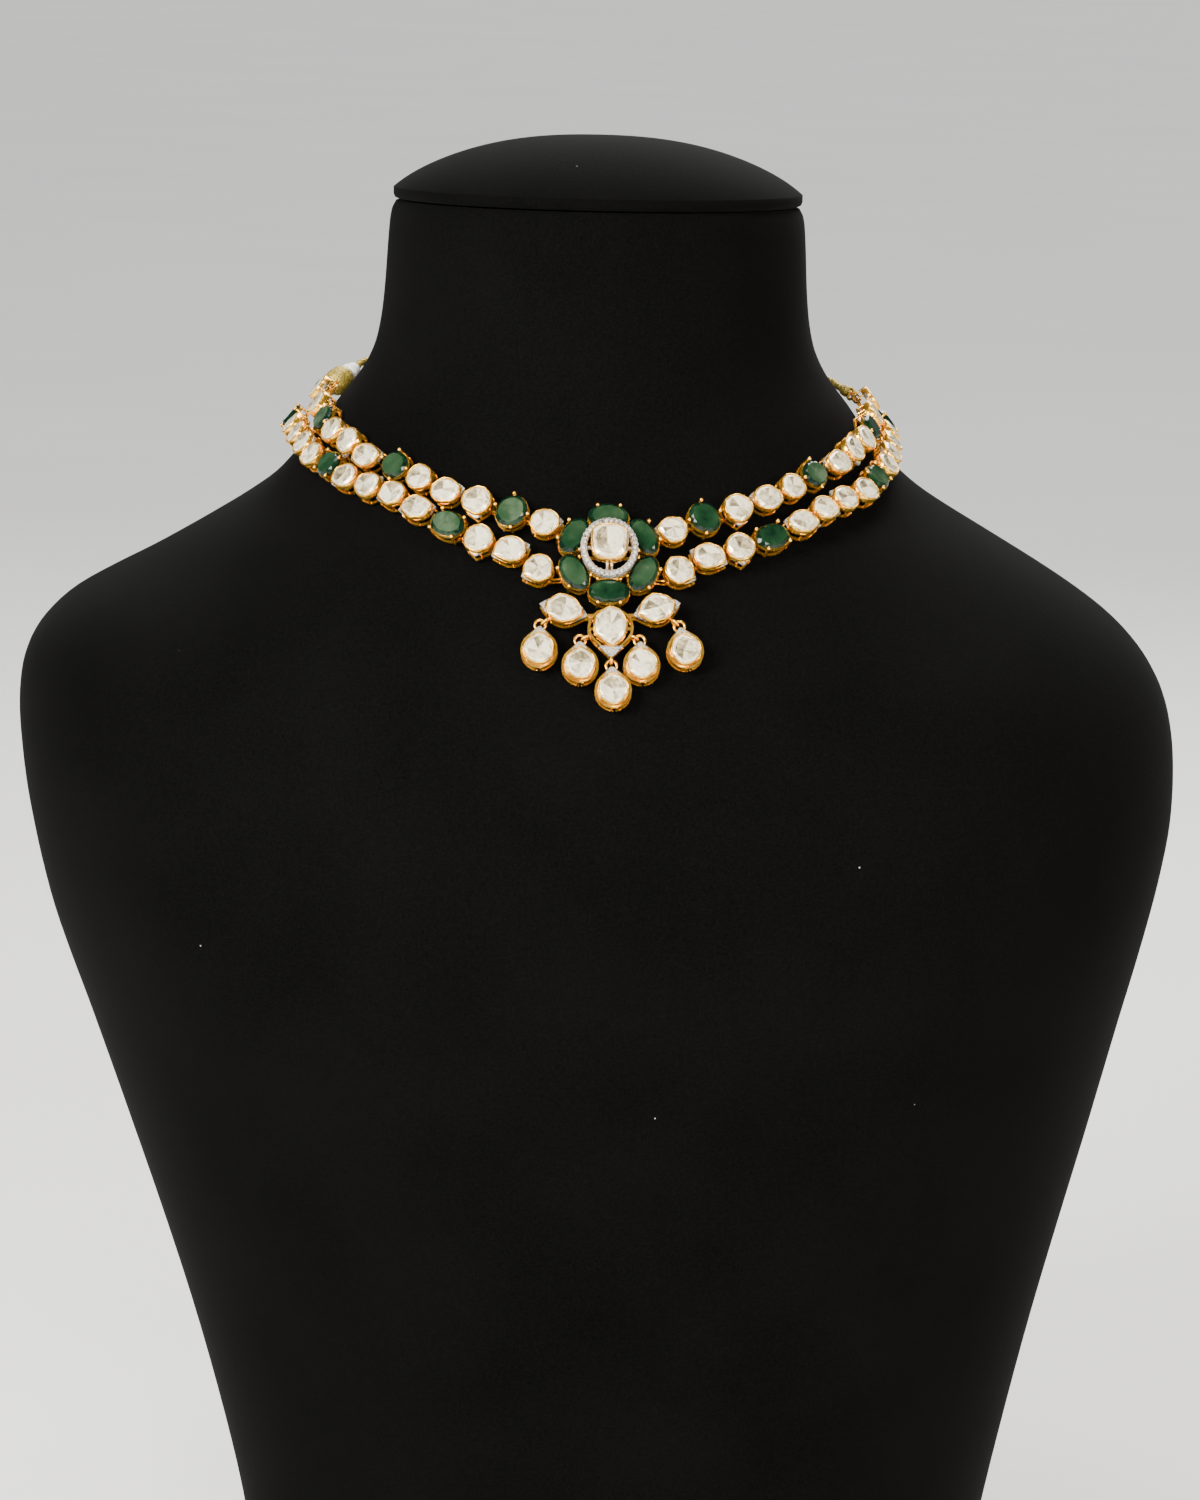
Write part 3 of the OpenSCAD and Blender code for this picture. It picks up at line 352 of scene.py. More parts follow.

# %% [markdown]
# ### Polki and emerald
# Polki is a thin uncut slice of diamond over silver foil. The foil sends the light back through
# slanting flats, so each flat has its own brightness, painted into its colour as painted
# reflection: the tone of its face. Hairlines and a faint cloud cross them. The emerald is a dark
# green glassy stone: its broad table is painted grey-green as a painted sheen, the small facets
# round it are painted far darker as painted shade, and garden-like inclusions break up the green.

# %% Polki
polki = Finish("polki_slice", Metallic=0.3, Coat_Weight=0.4, Coat_Roughness=0.04)
cloud = polki.noise(330, 4)
crumple = polki.node("ShaderNodeSeparateColor", {}, {0: polki.cells(1300, output="Color")})
flat_tone = polki.tone() + 0.5 * (cloud - 0.5) + 0.3 * (crumple - 0.5)
SHADOW, HALF_LIT_FOIL, FLASH, HAIRLINE = (0.08, 0.06, 0.03), (0.42, 0.345, 0.2), (1.0, 0.91, 0.66), (0.3, 0.26, 0.18)
# Painted reflection: each flat's tone runs from painted shadow through half-lit foil to a painted flash
tone = polki.ramp(flat_tone, (0.15, SHADOW), (0.5, HALF_LIT_FOIL), (0.9, FLASH))
from_hair = polki.cells(430, "DISTANCE_TO_EDGE")
hair = polki.node("ShaderNodeMapRange", {}, {"Value": from_hair, "From Max": 0.05})
polki.feed("Base Color", polki.mix(hair * 0.28 + 0.72, HAIRLINE, tone))
polki.feed("Roughness", 0.1 + 0.2 * cloud)
polki.bump(crumple + cloud, 0.08 * MM, 0.7)
print("finish:", polki.material.name)

# %% Emerald
# Painted light in the green: the darkest stop paints the small facets' shade and the palest paints the
# table's sheen; garden and veil noise vary it at random
SHADED_DEEP_GREEN, LEAF = (0.001, 0.0095, 0.004), (0.006, 0.026, 0.009)
MOSS, PAINTED_SHEEN_GREEN = (0.022, 0.047, 0.021), (0.052, 0.08, 0.045)
emerald = Finish("emerald", IOR=1.58, Specular_IOR_Level=0.2)
garden, veil = emerald.noise(420, 5), emerald.noise(150, 3)
depth = emerald.tone() + 0.6 * (garden - 0.5) + 1.1 * (veil - 0.5)
emerald.feed("Base Color", emerald.ramp(depth, (0.1, SHADED_DEEP_GREEN), (0.45, LEAF), (0.8, MOSS), (1.0, PAINTED_SHEEN_GREEN)))
emerald.feed("Roughness", 0.06 + 0.1 * garden)
print("finish:", emerald.material.name)

# %% [markdown]
# ### Gilt thread and cotton
# Zari is gilt wire wound on a thread, tarnished to olive. The white binding is plain cotton.

# %% Threads
OLIVE, GILT = (0.17, 0.115, 0.012), (0.52, 0.38, 0.07)
zari = Finish("zari_thread", Metallic=0.55)
fibre = zari.noise(1300, 2)
zari.feed("Base Color", zari.ramp(fibre, (0.3, OLIVE), (0.7, GILT)))
zari.feed("Roughness", 0.38 + 0.25 * fibre)

UNBLEACHED, WHITE = (0.62, 0.6, 0.54), (0.86, 0.84, 0.79)
cotton = Finish("white_cotton", Roughness=0.85, Sheen_Weight=0.4)
spun = cotton.noise(1600, 2)
cotton.feed("Base Color", cotton.ramp(spun, (0.3, UNBLEACHED), (0.7, WHITE)))
print("finishes:", zari.material.name, cotton.material.name)

# %% Make the cord
CORD_PITCH = 4.4 * MM
cord_heap = Heap()
cord_points = smooth_line(cord_line, 10)
sweep(cord_heap, cord_points, strands(CORD_D, CORD_PITCH), 24)
cord = cord_heap.piece("tie_cord", zari.material, "zari_cord", ["dori_cord"])

# %% [markdown]
# ## White binding, wound bead and knot
# The bead is a barrel wound with gilt thread, a loop of the cord at its end. Small blocks of
# thread cross it like a basket weave: rows of raised pads, each row shifted by half a pad. The
# knot on the right is wound the same way, smaller, and the binding is plain turns of cotton.

# %% Solids of revolution along an axis
def turned(heap, middle, way, profile, relief, sides):
    """A closed form turned round an axis; profile holds (along, radius), relief adds to the radius."""
    side = way.orthogonal().normalized()
    other = way.cross(side)
    points = []
    for along, radius in profile:
        for k in range(sides):
            turn = 2 * math.pi * k / sides
            r = max(radius + relief(turn, along), 0)
            points.append(middle + along * way + r * (math.cos(turn) * side + math.sin(turn) * other))
    heap.add(points, tube_faces(sides, len(profile)), True)


PAD, PAD_SUNK, PAD_HEIGHT, PAD_POWER = 0.8 * MM, 0.12 * MM, 0.22 * MM, 0.6
BARREL_STEPS, BARREL_CLOSING, BARREL_POWER = 60, 0.82, 3.4


def basket(pads):
    """Relief of a basket weave: pads in rows, each row shifted by half a pad."""

    def relief(turn, along):
        row = math.floor(along / PAD)
        lengthwise = abs(math.sin(math.pi * along / PAD))
        crosswise = abs(math.sin(pads / 2 * turn + row * math.pi / 2))
        return PAD_HEIGHT * min(lengthwise, crosswise) ** PAD_POWER

    return relief


def barrel(half, radius):
    ts = [2 * i / BARREL_STEPS - 1 for i in range(BARREL_STEPS + 1)]
    return [(half * t, radius * math.sqrt(1 - BARREL_CLOSING * abs(t) ** BARREL_POWER)) for t in ts]


# %% Bead and knot
def face_out(node):
    """Direction of a flat node's broad side that looks away from the neck."""
    mesh = nodes[node].data
    mesh.calc_loop_triangles()
    broad = max(mesh.loop_triangles, key=lambda t: t.area)
    away = Vector(broad.center) * Vector((1, 1, 0))
    return broad.normal if broad.normal.dot(away) > 0 else -broad.normal


CORD_GAP = 0.2 * MM


def wound(name, bar, way, end, half, radius, loop, loop_d, pads, replaced):
    """A wound barrel and the ring of cord at its end that holds the end bar."""
    heap = Heap()
    middle = end - (half + CORD_GAP) * way
    turned(heap, middle, way, barrel(half, radius - PAD_SUNK), basket(pads), 96)
    out = face_out(bar)
    flat = (out - out.dot(way) * way).normalized()
    centre = middle - (loop + half - loop_d / 2) * way
    turns = np.linspace(0, 2 * math.pi, 72)[:-1]
    ring = [centre + loop * (math.cos(a) * way + math.sin(a) * flat) for a in turns]
    sweep(heap, ring, strands(loop_d, 2 * math.pi * loop / 4), 16, closed=True, first=way.cross(flat))
    heap.piece(name, zari.material, "zari_cord", [replaced])


wound("wound_bead", "end_bar_left", BEAD_WAY, cord_line[0], half=3.7 * MM, radius=3.6 * MM,
      loop=1.6 * MM, loop_d=0.9 * MM, pads=22, replaced="dori_bead")
wound("wound_knot", "end_bar_right", KNOT_WAY, cord_line[-1], half=1.9 * MM, radius=1.5 * MM,
      loop=1.45 * MM, loop_d=0.8 * MM, pads=14, replaced="dori_knot")

# %% White binding
BINDING, WIDE, NARROW, STRAIGHT = 3.2 * MM, 2.5 * MM, 1.7 * MM, 0.25
COTTON_TURN, COTTON_HEIGHT = 0.36 * MM, 0.1 * MM


def cotton_turns(turn, along):
    return COTTON_HEIGHT * abs(math.sin(math.pi * along / COTTON_TURN - turn / 2))


taper = []
for i in range(91):
    t = i / 90
    narrowing = (WIDE - NARROW) * max(0, t - STRAIGHT) / (1 - STRAIGHT)
    taper.append((BINDING * t, WIDE - narrowing - COTTON_HEIGHT))
binding_heap = Heap()
turned(binding_heap, cord_line[0] + CORD_GAP * BEAD_WAY, BEAD_WAY, taper, cotton_turns, 48)
binding = binding_heap.piece("white_binding", cotton.material, "white_thread", ["dori_thread"])

# %% [markdown]
# ## The bust
# The CAD skin has flat panels. Its corners lie on the true form, so a smooth curve through each
# ring, and from ring to ring, gives the moulded surface back. The cap on the neck is turned: a thin
# rim, a soft corner and a low bulging dome, with a dark seam below it.

# %% Skin of the bust
ROUND, RISE = 4, 3
ROUNDED_IN, ROUNDED_UP = 0.985, 0.25 * MM


def round_from_front(ring):
    """A ring's corners in their order round the neck, the first one at the front."""
    middle = sum((v.co for v in ring), Vector()) / len(ring)
    half_step = math.pi / len(ring)

    def angle(p):
        return (math.atan2(p.x - middle.x, middle.y - p.y) + half_step) % (2 * math.pi)

    return sorted((v.co.copy() for v in ring), key=angle)


skin = welded("neck_bust")
base_ring = [v for v in skin.verts if v.co.z < 0.01 * MM]
rings = [round_from_front(ring) for ring in walk_rings(skin, base_ring)]
skin.free()
round_rings = [smooth_line(ring, ROUND, closed=True) for ring in rings]
columns = [smooth_line([ring[k] for ring in round_rings], RISE) for k in range(len(round_rings[0]))]
skin_rings = [[column[i] for column in columns] for i in range(len(columns[0]))]
count = len(columns)
top = skin_rings[-1]
top_middle = sum(top, Vector()) / count
inset = [top_middle + ROUNDED_IN * (p - top_middle) + Vector((0, 0, ROUNDED_UP)) for p in top]
bust_heap = Heap()
bust_heap.add([p for ring in skin_rings + [inset] for p in ring], bands(count, len(skin_rings) + 1), True)
bust_heap.add(skin_rings[0], [tuple(reversed(range(count)))])
bust_heap.add(inset, [tuple(range(count))])
bust_heap.piece("flocked_bust", flock.material, "suede", ["neck_bust"])

# %% Cap
SLANT = math.radians(1.6)
PLUG_INSET, PLUG_DEPTH = 5 * MM, 0.6 * MM
RIM, DOME, DOME_POWER, RIM_SOFT = 4.1 * MM, 13.6 * MM, 2.45, 1.1 * MM
CORNER, EASE, CORNER_POWER, DOME_STEPS, STEP_POWER = 1.2 * MM, 0.35 * MM, 14, 40, 1.6
cap_axis = Vector((0, math.sin(SLANT), math.cos(SLANT)))
lowest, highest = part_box("neck_cap")
cap_r = (highest.x - lowest.x) / 2
plug = cap_r - PLUG_INSET
plug_foot = Vector((highest.x - cap_r, (lowest.y + highest.y) / 2, lowest.z))
seat = plug_foot + (PLUG_DEPTH + plug * math.sin(SLANT)) * cap_axis
profile = [(-PLUG_DEPTH, plug), (0, plug), (0, cap_r - CORNER), (EASE, cap_r - EASE), (CORNER, cap_r)]
for i in range(DOME_STEPS, -1, -1):
    reach = 1 - (1 - i / DOME_STEPS) ** STEP_POWER
    height = RIM + DOME * (1 - reach**DOME_POWER) - RIM_SOFT * reach**CORNER_POWER
    profile.append((height, max(cap_r * reach, 0.01 * MM)))
cap_heap = Heap()
turned(cap_heap, seat, cap_axis, profile, lambda turn, along: 0, 128)
cap_heap.piece("flocked_cap", flock.material, "suede", ["neck_cap"])
print("cap seat:", [round(c / MM, 2) for c in seat])

# %% [markdown]
# ## Reading the stones
# Each CAD stone says where its finished stone lies. Its flat underside or its table gives the
# way it faces, and the corners of that flat give its outline. From then on a stone is drawn in
# its own small frame: right, up and out.

# %% Patches and flats
def joined(faces):
    """Faces gathered in patches that hang together by their edges, in the faces' own order."""
    left, patches = dict.fromkeys(faces), []
    while left:
        patch = [next(iter(left))]
        del left[patch[0]]
        for face in patch:
            near = dict.fromkeys(f for e in face.edges for f in e.link_faces if f in left)
            for f in near:
                del left[f]
            patch += near
        patches.append(patch)
    return patches


def corners_of(faces):
    """The corners of some faces, each once, in the faces' order."""
    return list(dict.fromkeys(v for f in faces for v in f.verts))


def flats_of(faces):
    """Coplanar faces gathered, the largest flat first: area, normal, faces and place along the normal."""
    flats = []
    for face in sorted(faces, key=lambda f: -f.calc_area()):
        where = face.normal.dot(face.verts[0].co)
        for flat in flats:
            if flat[1].dot(face.normal) > 0.99995 and abs(flat[3] - where) < 0.01 * MM:
                flat[0] += face.calc_area()
                flat[2].append(face)
                break
        else:
            flats.append([face.calc_area(), face.normal.copy(), [face], where])
    return sorted(flats, key=lambda flat: -flat[0])


# %% A stone's own frame and outline
class Stone:
    """A CAD stone: where it lies, the way it faces, its outline and the levels of its corners."""

    def __init__(self, faces, table_up):
        _, normal, flat, _ = flats_of(faces)[0]
        corners = corners_of(flat)
        self.out = normal if table_up else -normal
        self.middle = sum((v.co for v in corners), Vector()) / len(corners)
        self.right = Vector((0, 0, 1)).cross(self.out).normalized()
        self.up = self.out.cross(self.right)
        self.levels = sorted({round(self.local(v.co).z / MM, 2) for f in faces for v in f.verts})
        self.outline = sorted((self.local(v.co) for v in corners), key=lambda p: math.atan2(p.y, p.x))
        self.corners = [self.local(v.co) for v in corners_of(faces)]

    def local(self, point):
        d = point - self.middle
        return Vector((d.dot(self.right), d.dot(self.up), d.dot(self.out)))

    def world(self, x, y, z):
        return self.middle + x * self.right + y * self.up + z * self.out


def stones_in(node, table_up=False):
    mesh = welded(node)
    made = [Stone(part, table_up) for part in joined(mesh.faces)]
    mesh.free()
    return made


rows = ["upper_left", "upper_right", "lower_left", "lower_right"]
polki_nodes = {row: [row + "_polki"] for row in rows}
polki_nodes["pendant"] = [f"pendant_polki_{i}" for i in range(1, 4)]
polki_nodes["drops"] = [f"drop_polki_{i}" for i in range(1, 6)]
polki_nodes["centre"] = ["centre_polki"]
polki_of = {name: [s for node in group for s in stones_in(node)] for name, group in polki_nodes.items()}
print("polki:", {name: len(found) for name, found in polki_of.items()})

# %% [markdown]
# ## Polki stones
# A polki keeps the outline of the rough: rounded, never quite even. Round its edge run slanting
# flats, and the table breaks into a few shallow planes with one deeper streak from the middle
# to the edge. Each plane is left flat, because a smoothed one would look like a drop of glue.

# %% Cut a polki
GIRDLE_STEPS = 4
SETTING_FIT, TABLE_SHARE, HUB_SUNK, CREASE_DEEP = 0.99, 0.82, 0.18 * MM, 0.16 * MM
CREASES, HUB_WANDER = 7, 0.22
# Tones of the flats are painted light: how bright each flat's reflection is, with the streak as painted shade
PLANE_TONES, STREAK_TONE, WALL_TONE = (1.0, 0.95, 0.8, 0.62), 0.36, 0.7
FOIL_TONES, SLOPE_TONES, PLANE_SPREAD = (0.78, 1.06), ((0.6, 1.0), (0.5, 1.0)), (0.86, 1.06)
STREAK_PLACE = 0.65, 0.85


def cut_polki(heap, stone, seed):
    chance = random.Random(seed)
    girdle, table = stone.levels[-2] * MM, stone.levels[-1] * MM
    line = [Vector((p.x, p.y, 0)) * SETTING_FIT for p in stone.outline]
    edge = smooth_line(line, GIRDLE_STEPS, closed=True)
    n, flats = len(edge), len(line)
    low = [stone.world(p.x, p.y, 0) for p in edge]
    high = [stone.world(p.x, p.y, girdle) for p in edge]
    heap.add(low + high, bands(n, 2) + [tuple(reversed(range(n)))], True, WALL_TONE)
    creases = sorted(chance.sample(range(flats), min(CREASES, flats)))
    sunk = {i: CREASE_DEEP * chance.random() for i in creases}
    foil = chance.uniform(*FOIL_TONES)
    shades = {i: foil * chance.choice(PLANE_TONES) for i in creases}
    shades[min(creases, key=lambda i: abs(i - flats * chance.uniform(*STREAK_PLACE)))] = STREAK_TONE
    inner, plane = [], []
    for i, p in enumerate(line):
        before = max((c for c in creases if c <= i), default=creases[-1])
        after = min((c for c in creases if c > i), default=creases[0])
        t = (i - before) % flats / ((after - before) % flats or flats)
        level = table - (1 - t) * sunk[before] - t * sunk[after]
        inner.append(stone.world(TABLE_SHARE * p.x, TABLE_SHARE * p.y, level))
        plane.append(before)
    wander = HUB_WANDER * min(p.length for p in line)
    hub = stone.world(chance.uniform(-wander, wander), chance.uniform(-wander, wander), table - HUB_SUNK)
    points, faces, tones = high + inner + [hub], [], []
    for i in range(flats):
        j = (i + 1) % flats
        arc = [(i * GIRDLE_STEPS + k) % n for k in range(GIRDLE_STEPS + 1)]
        faces += [(*arc, n + j), (arc[0], n + j, n + i), (n + i, n + j, n + flats)]
        tones += [chance.uniform(*tone) for tone in SLOPE_TONES]
        tones.append(shades[plane[i]] * chance.uniform(*PLANE_SPREAD))
    heap.add(points, faces, False, tones)


# %% Collet of a stone
WALL, WALL_SOFT, WALL_FOOT, WALL_DROP = 0.5 * MM, 0.12 * MM, 0.45 * MM, 0.15 * MM
LIP, LIP_IN, LIP_OVER = 0.17 * MM, 0.2 * MM, 0.02 * MM


def offset_ring(stone, reach, level):
    """A smooth ring round a stone's outline, at a distance from it."""
    ring = []
    for p in smooth_line([Vector((p.x, p.y, 0)) for p in stone.outline], GIRDLE_STEPS, closed=True):
        q = p * (1 + reach / p.length)
        ring.append(stone.world(q.x, q.y, level))
    return ring


def collet(heap, stone):
    """The smooth gold wall round a stone, and the bright lip that is rubbed over its edge."""
    girdle = stone.levels[-2] * MM
    rings = [offset_ring(stone, WALL, z) for z in (-WALL_FOOT, girdle - WALL_DROP)]
    rings.append(offset_ring(stone, WALL - WALL_SOFT, girdle))
    heap.add([p for ring in rings for p in ring], bands(len(rings[0]), len(rings)), True)
    lip = offset_ring(stone, LIP_IN, girdle + LIP_OVER)
    sweep(heap, lip, lambda turn, along: LIP, 8, closed=True, first=stone.out)


# %% Set all the polki
rims = Heap()
for k, (name, found) in enumerate(polki_of.items()):
    heap = Heap()
    for i, stone in enumerate(found):
        cut_polki(heap, stone, 7 * k + 3 * i + 1)
        collet(rims, stone)
    heap.piece(name + "_polki_stones", polki.material, "polki", polki_nodes[name])
rims.piece("collets", gold.material, "gold")

# %% [markdown]
# ## Emeralds
# The emeralds are ovals with a broad table. The CAD outline is a many-sided ellipse, and an
# ellipse through its corners gives the true one. Narrow facets lead from the girdle to the
# table, in the usual order of girdle facets, kites and stars, each with its own painted dark
# tone as painted shade, and the table gets a painted sheen.

# %% Fit an ellipse and cut an emerald
def ellipse_of(points):
    """Half lengths and turn of the ellipse round the origin that passes through the points."""
    terms = np.array([(p.x**2, p.x * p.y, p.y**2) for p in points])
    a, b, c = np.linalg.lstsq(terms, np.ones(len(terms)), rcond=None)[0]
    values, ways = np.linalg.eigh(np.array([[a, b / 2], [b / 2, c]]))
    return 1 / math.sqrt(values[0]), 1 / math.sqrt(values[1]), math.atan2(ways[1, 0], ways[0, 0])


FACETS, ARC = 16, 3
OVAL = FACETS * ARC
CAD_GIRDLE = 0.85 * MM
# Depths below the table in mm, with the share of the girdle's oval at each
FOOT, BELLY, GIRDLE, KITE, STAR = (2.45, 0.58), (1.05, 1), (0.83, 1), (0.42, 0.91), (0.03, 0.79)


# Darkest and lightest tone of each kind of facet: painted shade on the small facets, painted sheen on the
# table
TABLE_TONES, GIRDLE_TONES, KITE_TONES, STAR_TONES = (0.42, 0.88), (0, 0.25), (0, 0.35), (0.1, 0.5)
BELLY_TONE = 0.3


def near_girdle(p, table, widest):
    return math.hypot(p.x, p.y) > 0.5 * widest and abs(p.z - (table - CAD_GIRDLE)) < 0.02 * MM


def cut_emerald(heap, stone, seed):
    chance = random.Random(seed)
    table = stone.levels[-1] * MM
    widest = max(math.hypot(p.x, p.y) for p in stone.corners)
    a, b, turn = ellipse_of([p for p in stone.corners if near_girdle(p, table, widest)])

    def ring(depth, count, shift=0.0):
        below, share = depth
        made = []
        for k in range(count):
            t = 2 * math.pi * (k + shift) / count
            x, y = share * a * math.cos(t), share * b * math.sin(t)
            made.append(stone.world(x * math.cos(turn) - y * math.sin(turn),
                                    x * math.sin(turn) + y * math.cos(turn), table - below * MM))
        return made

    belly = ring(FOOT, OVAL) + ring(BELLY, OVAL) + ring(GIRDLE, OVAL)
    heap.add(belly, bands(OVAL, 3) + [tuple(reversed(range(OVAL)))], True, BELLY_TONE)
    points = ring(GIRDLE, OVAL) + ring(KITE, FACETS, 0.5) + ring(STAR, FACETS)
    middle, inner = OVAL, OVAL + FACETS
    faces, tones = [tuple(inner + k for k in range(FACETS))], [chance.uniform(*TABLE_TONES)]
    for i in range(FACETS):
        j = (i + 1) % FACETS
        arc = [(i * ARC + k) % OVAL for k in range(ARC + 1)]
        faces.append((*arc, middle + i))
        faces.append((i * ARC, middle + i, inner + i, middle + (i - 1) % FACETS))
        faces.append((inner + i, middle + i, inner + j))
        tones += [chance.uniform(*tone) for tone in (GIRDLE_TONES, KITE_TONES, STAR_TONES)]
    heap.add(points, faces, False, tones)


emerald_nodes = [n for n in sorted(nodes) if "emerald" in n]
for i, name in enumerate(emerald_nodes):
    heap = Heap()
    for stone in stones_in(name, table_up=True):
        cut_emerald(heap, stone, 40 + i)
    heap.piece(name + "_stone", emerald.material, "emerald", [name])
print("emeralds:", len(emerald_nodes))

# %% [markdown]
# ## Small diamonds
# White plates fill the points of the frames, and the halo is a white oval ring. Small round
# diamonds sit in both, close together, with a bead of metal between. The plates are found in the
# CAD as flats that lie a little above the frame's wire, and the stones are spread over them in a
# honeycomb, as a setter would do.

# %% A round brilliant and a bead of metal
# Rings of a brilliant: width and height in radii, and how far its corners are turned
BRILLIANT = (1, -0.35, 0), (1, 0, 0), (0.56, 0.34, 0.5)
# Tones of the small diamonds' facets: painted glints and painted dark reflections, one picked at random for
# each facet
PAINTED_GLINT_TONES = 0.1, 0.6, 0.9, 1.0


def brilliant(heap, middle, out, radius, spin=0.0):
    chance = random.Random(round(spin * 1000))
    side = out.orthogonal().normalized()
    other = out.cross(side)
    points = []
    for width, height, shift in BRILLIANT:
        r, z = width * radius, height * radius
        for k in range(8):
            t = spin + 2 * math.pi * (k + shift) / 8
            points.append(middle + r * (math.cos(t) * side + math.sin(t) * other) + z * out)
    faces = bands(8, 2) + [tuple(range(16, 24)), tuple(reversed(range(8)))]
    for k in range(8):
        j = (k + 1) % 8
        faces += [(8 + k, 8 + j, 16 + k), (8 + j, 16 + j, 16 + k)]
    heap.add(points, faces, False, [chance.choice(PAINTED_GLINT_TONES) for _ in faces])


def metal_bead(heap, middle, out, radius):
    side = out.orthogonal().normalized()
    other = out.cross(side)
    points = [middle + radius * out]
    for tilt in (40, 90):
        r, z = radius * math.sin(math.radians(tilt)), radius * math.cos(math.radians(tilt))
        for k in range(6):
            t = math.pi * k / 3
            points.append(middle + r * (math.cos(t) * side + math.sin(t) * other) + z * out)
    faces = [(0, 1 + k, 1 + (k + 1) % 6) for k in range(6)]
    faces += [(1 + k, 7 + k, 7 + (k + 1) % 6, 1 + (k + 1) % 6) for k in range(6)]
    heap.add(points, faces, True)


# %% Plates of the frames' points
PLATE_LEVEL, PLATE_REACH = 0.38 * MM, 11 * MM
PLATE_GROWTH, PLATE_SIDE, PLATE_LIFT = 0.16 * MM, 0.62 * MM, 0.05 * MM
PLATE_STONE, PLATE_BEAD, BEAD_EDGE = 0.32 * MM, 0.13 * MM, 0.12 * MM
COMB, COMB_ROW, COMB_GAP, COMB_REACH = 2.2, 0.88, 0.58, 6
STONE_EDGE = 0.8 * PLATE_STONE
plates, stones_heap, beads_heap = Heap(), Heap(), Heap()


def plate_flats(mesh, stone):
    """The flats of a setting that lie at the plates' level round one stone, joined by their edges."""
    found = []
    for face in mesh.faces:
        p = stone.local(face.calc_center_median())
        level = abs(p.z - PLATE_LEVEL) < 0.03 * MM and face.normal.dot(stone.out) > 0.9999
        if level and p.length < PLATE_REACH:
            found.append(face)
    return joined(found)


def inside(x, y, triangles):
    for a, b, c in triangles:
        turns = [(q[0] - p[0]) * (y - p[1]) - (q[1] - p[1]) * (x - p[0]) for p, q in ((a, b), (b, c), (c, a))]
        if min(turns) >= 0 or max(turns) <= 0:
            return True
    return False


def from_edge(x, y, edges):
    near = 1.0
    for (ax, ay), (bx, by) in edges:
        dx, dy = bx - ax, by - ay
        t = max(0, min(1, ((x - ax) * dx + (y - ay) * dy) / (dx * dx + dy * dy)))
        near = min(near, math.hypot(x - ax - t * dx, y - ay - t * dy))
    return near


def plate_top(stone, part):
    """The corners of a plate, grown a little over the wire, in its stone's frame."""
    flat = {v: stone.local(v.co) for v in corners_of(part)}
    centre = sum(flat.values(), Vector()) / len(flat)
    return {v: p + PLATE_GROWTH * (p - centre).normalized() for v, p in flat.items()}


def dress_plate(stone, part):
    flat = plate_top(stone, part)
    level = sum(p.z for p in flat.values()) / len(flat) + PLATE_LIFT
    order = {v: i for i, v in enumerate(flat)}
    faces = [tuple(order[v] for v in f.verts) for f in part]
    plates.add([stone.world(p.x, p.y, level) for p in flat.values()], faces)
    edges = []
    for e in dict.fromkeys(e for f in part for e in f.edges):
        p, q = (flat[v] for v in e.verts)
        if sum(f in part for f in e.link_faces) == 1 and p != q:
            edges.append([(p.x, p.y), (q.x, q.y)])
            side = [(p, level), (q, level), (q, level - PLATE_SIDE), (p, level - PLATE_SIDE)]
            plates.add([stone.world(c.x, c.y, z) for c, z in side], [(0, 1, 2, 3)])
    triangles = [[(flat[v].x, flat[v].y) for v in f.verts] for f in part]
    xs, ys = [c[0] for t in triangles for c in t], [c[1] for t in triangles for c in t]
    cx, cy = sum(xs) / len(xs), sum(ys) / len(ys)
    reach = math.hypot(cx, cy)
    ux, uy = cx / reach, cy / reach
    pitch, made = COMB * PLATE_STONE, 0
    for i in range(-COMB_REACH, COMB_REACH + 1):
        for j in range(-COMB_REACH, COMB_REACH + 1):
            a, b = i * pitch * COMB_ROW, (j + 0.5 * (i % 2)) * pitch
            x, y = cx + a * ux - b * uy, cy + a * uy + b * ux
            if inside(x, y, triangles) and from_edge(x, y, edges) > STONE_EDGE:
                spot = stone.world(x, y, level + PLATE_LIFT)
                brilliant(stones_heap, spot, stone.out, PLATE_STONE, 0.4 * i + j)
                made += 1
            x, y = x + COMB_GAP * pitch * ux, y + COMB_GAP * pitch * uy
            if inside(x, y, triangles) and from_edge(x, y, edges) > BEAD_EDGE:
                metal_bead(beads_heap, stone.world(x, y, level + PLATE_LIFT), stone.out, PLATE_BEAD)
    return made


set_stones = 0
setting_nodes = {row: [row + "_settings"] for row in rows}
setting_nodes["pendant"] = ["pendant_setting"]
setting_nodes["drops"] = [f"drop_setting_{i}" for i in range(1, 6)]
for name, settings in setting_nodes.items():
    for node in settings:
        mesh = welded(node)
        found = polki_of[name] if len(settings) == 1 else [polki_of[name][settings.index(node)]]
        for stone in found:
            for part in plate_flats(mesh, stone):
                set_stones += dress_plate(stone, part)
        mesh.free()
print("diamonds in the plates:", set_stones)

# %% Halo
RING, HALO_STONE, HALO_BEAD, HALO_STEPS = 1.65 * MM, 0.6 * MM, 0.2 * MM, 720
HALO_PITCH, BEADS_ASIDE, BEAD_LIFT, STONE_LIFT = 2.12 * HALO_STONE, 0.4 * RING, 0.06 * MM, 0.1 * MM


def halo_box():
    """Corners of the halo's flat face, in the centre stone's frame."""
    mesh = welded("halo_setting")
    centre = polki_of["centre"][0]
    flats = flats_of([f for f in mesh.faces if f.normal.dot(centre.out) > 0.9999])
    corners = [centre.local(v.co) for flat in flats[:2] for f in flat[2] for v in f.verts]
    mesh.free()
    return [(min(values), max(values)) for values in zip(*corners)]


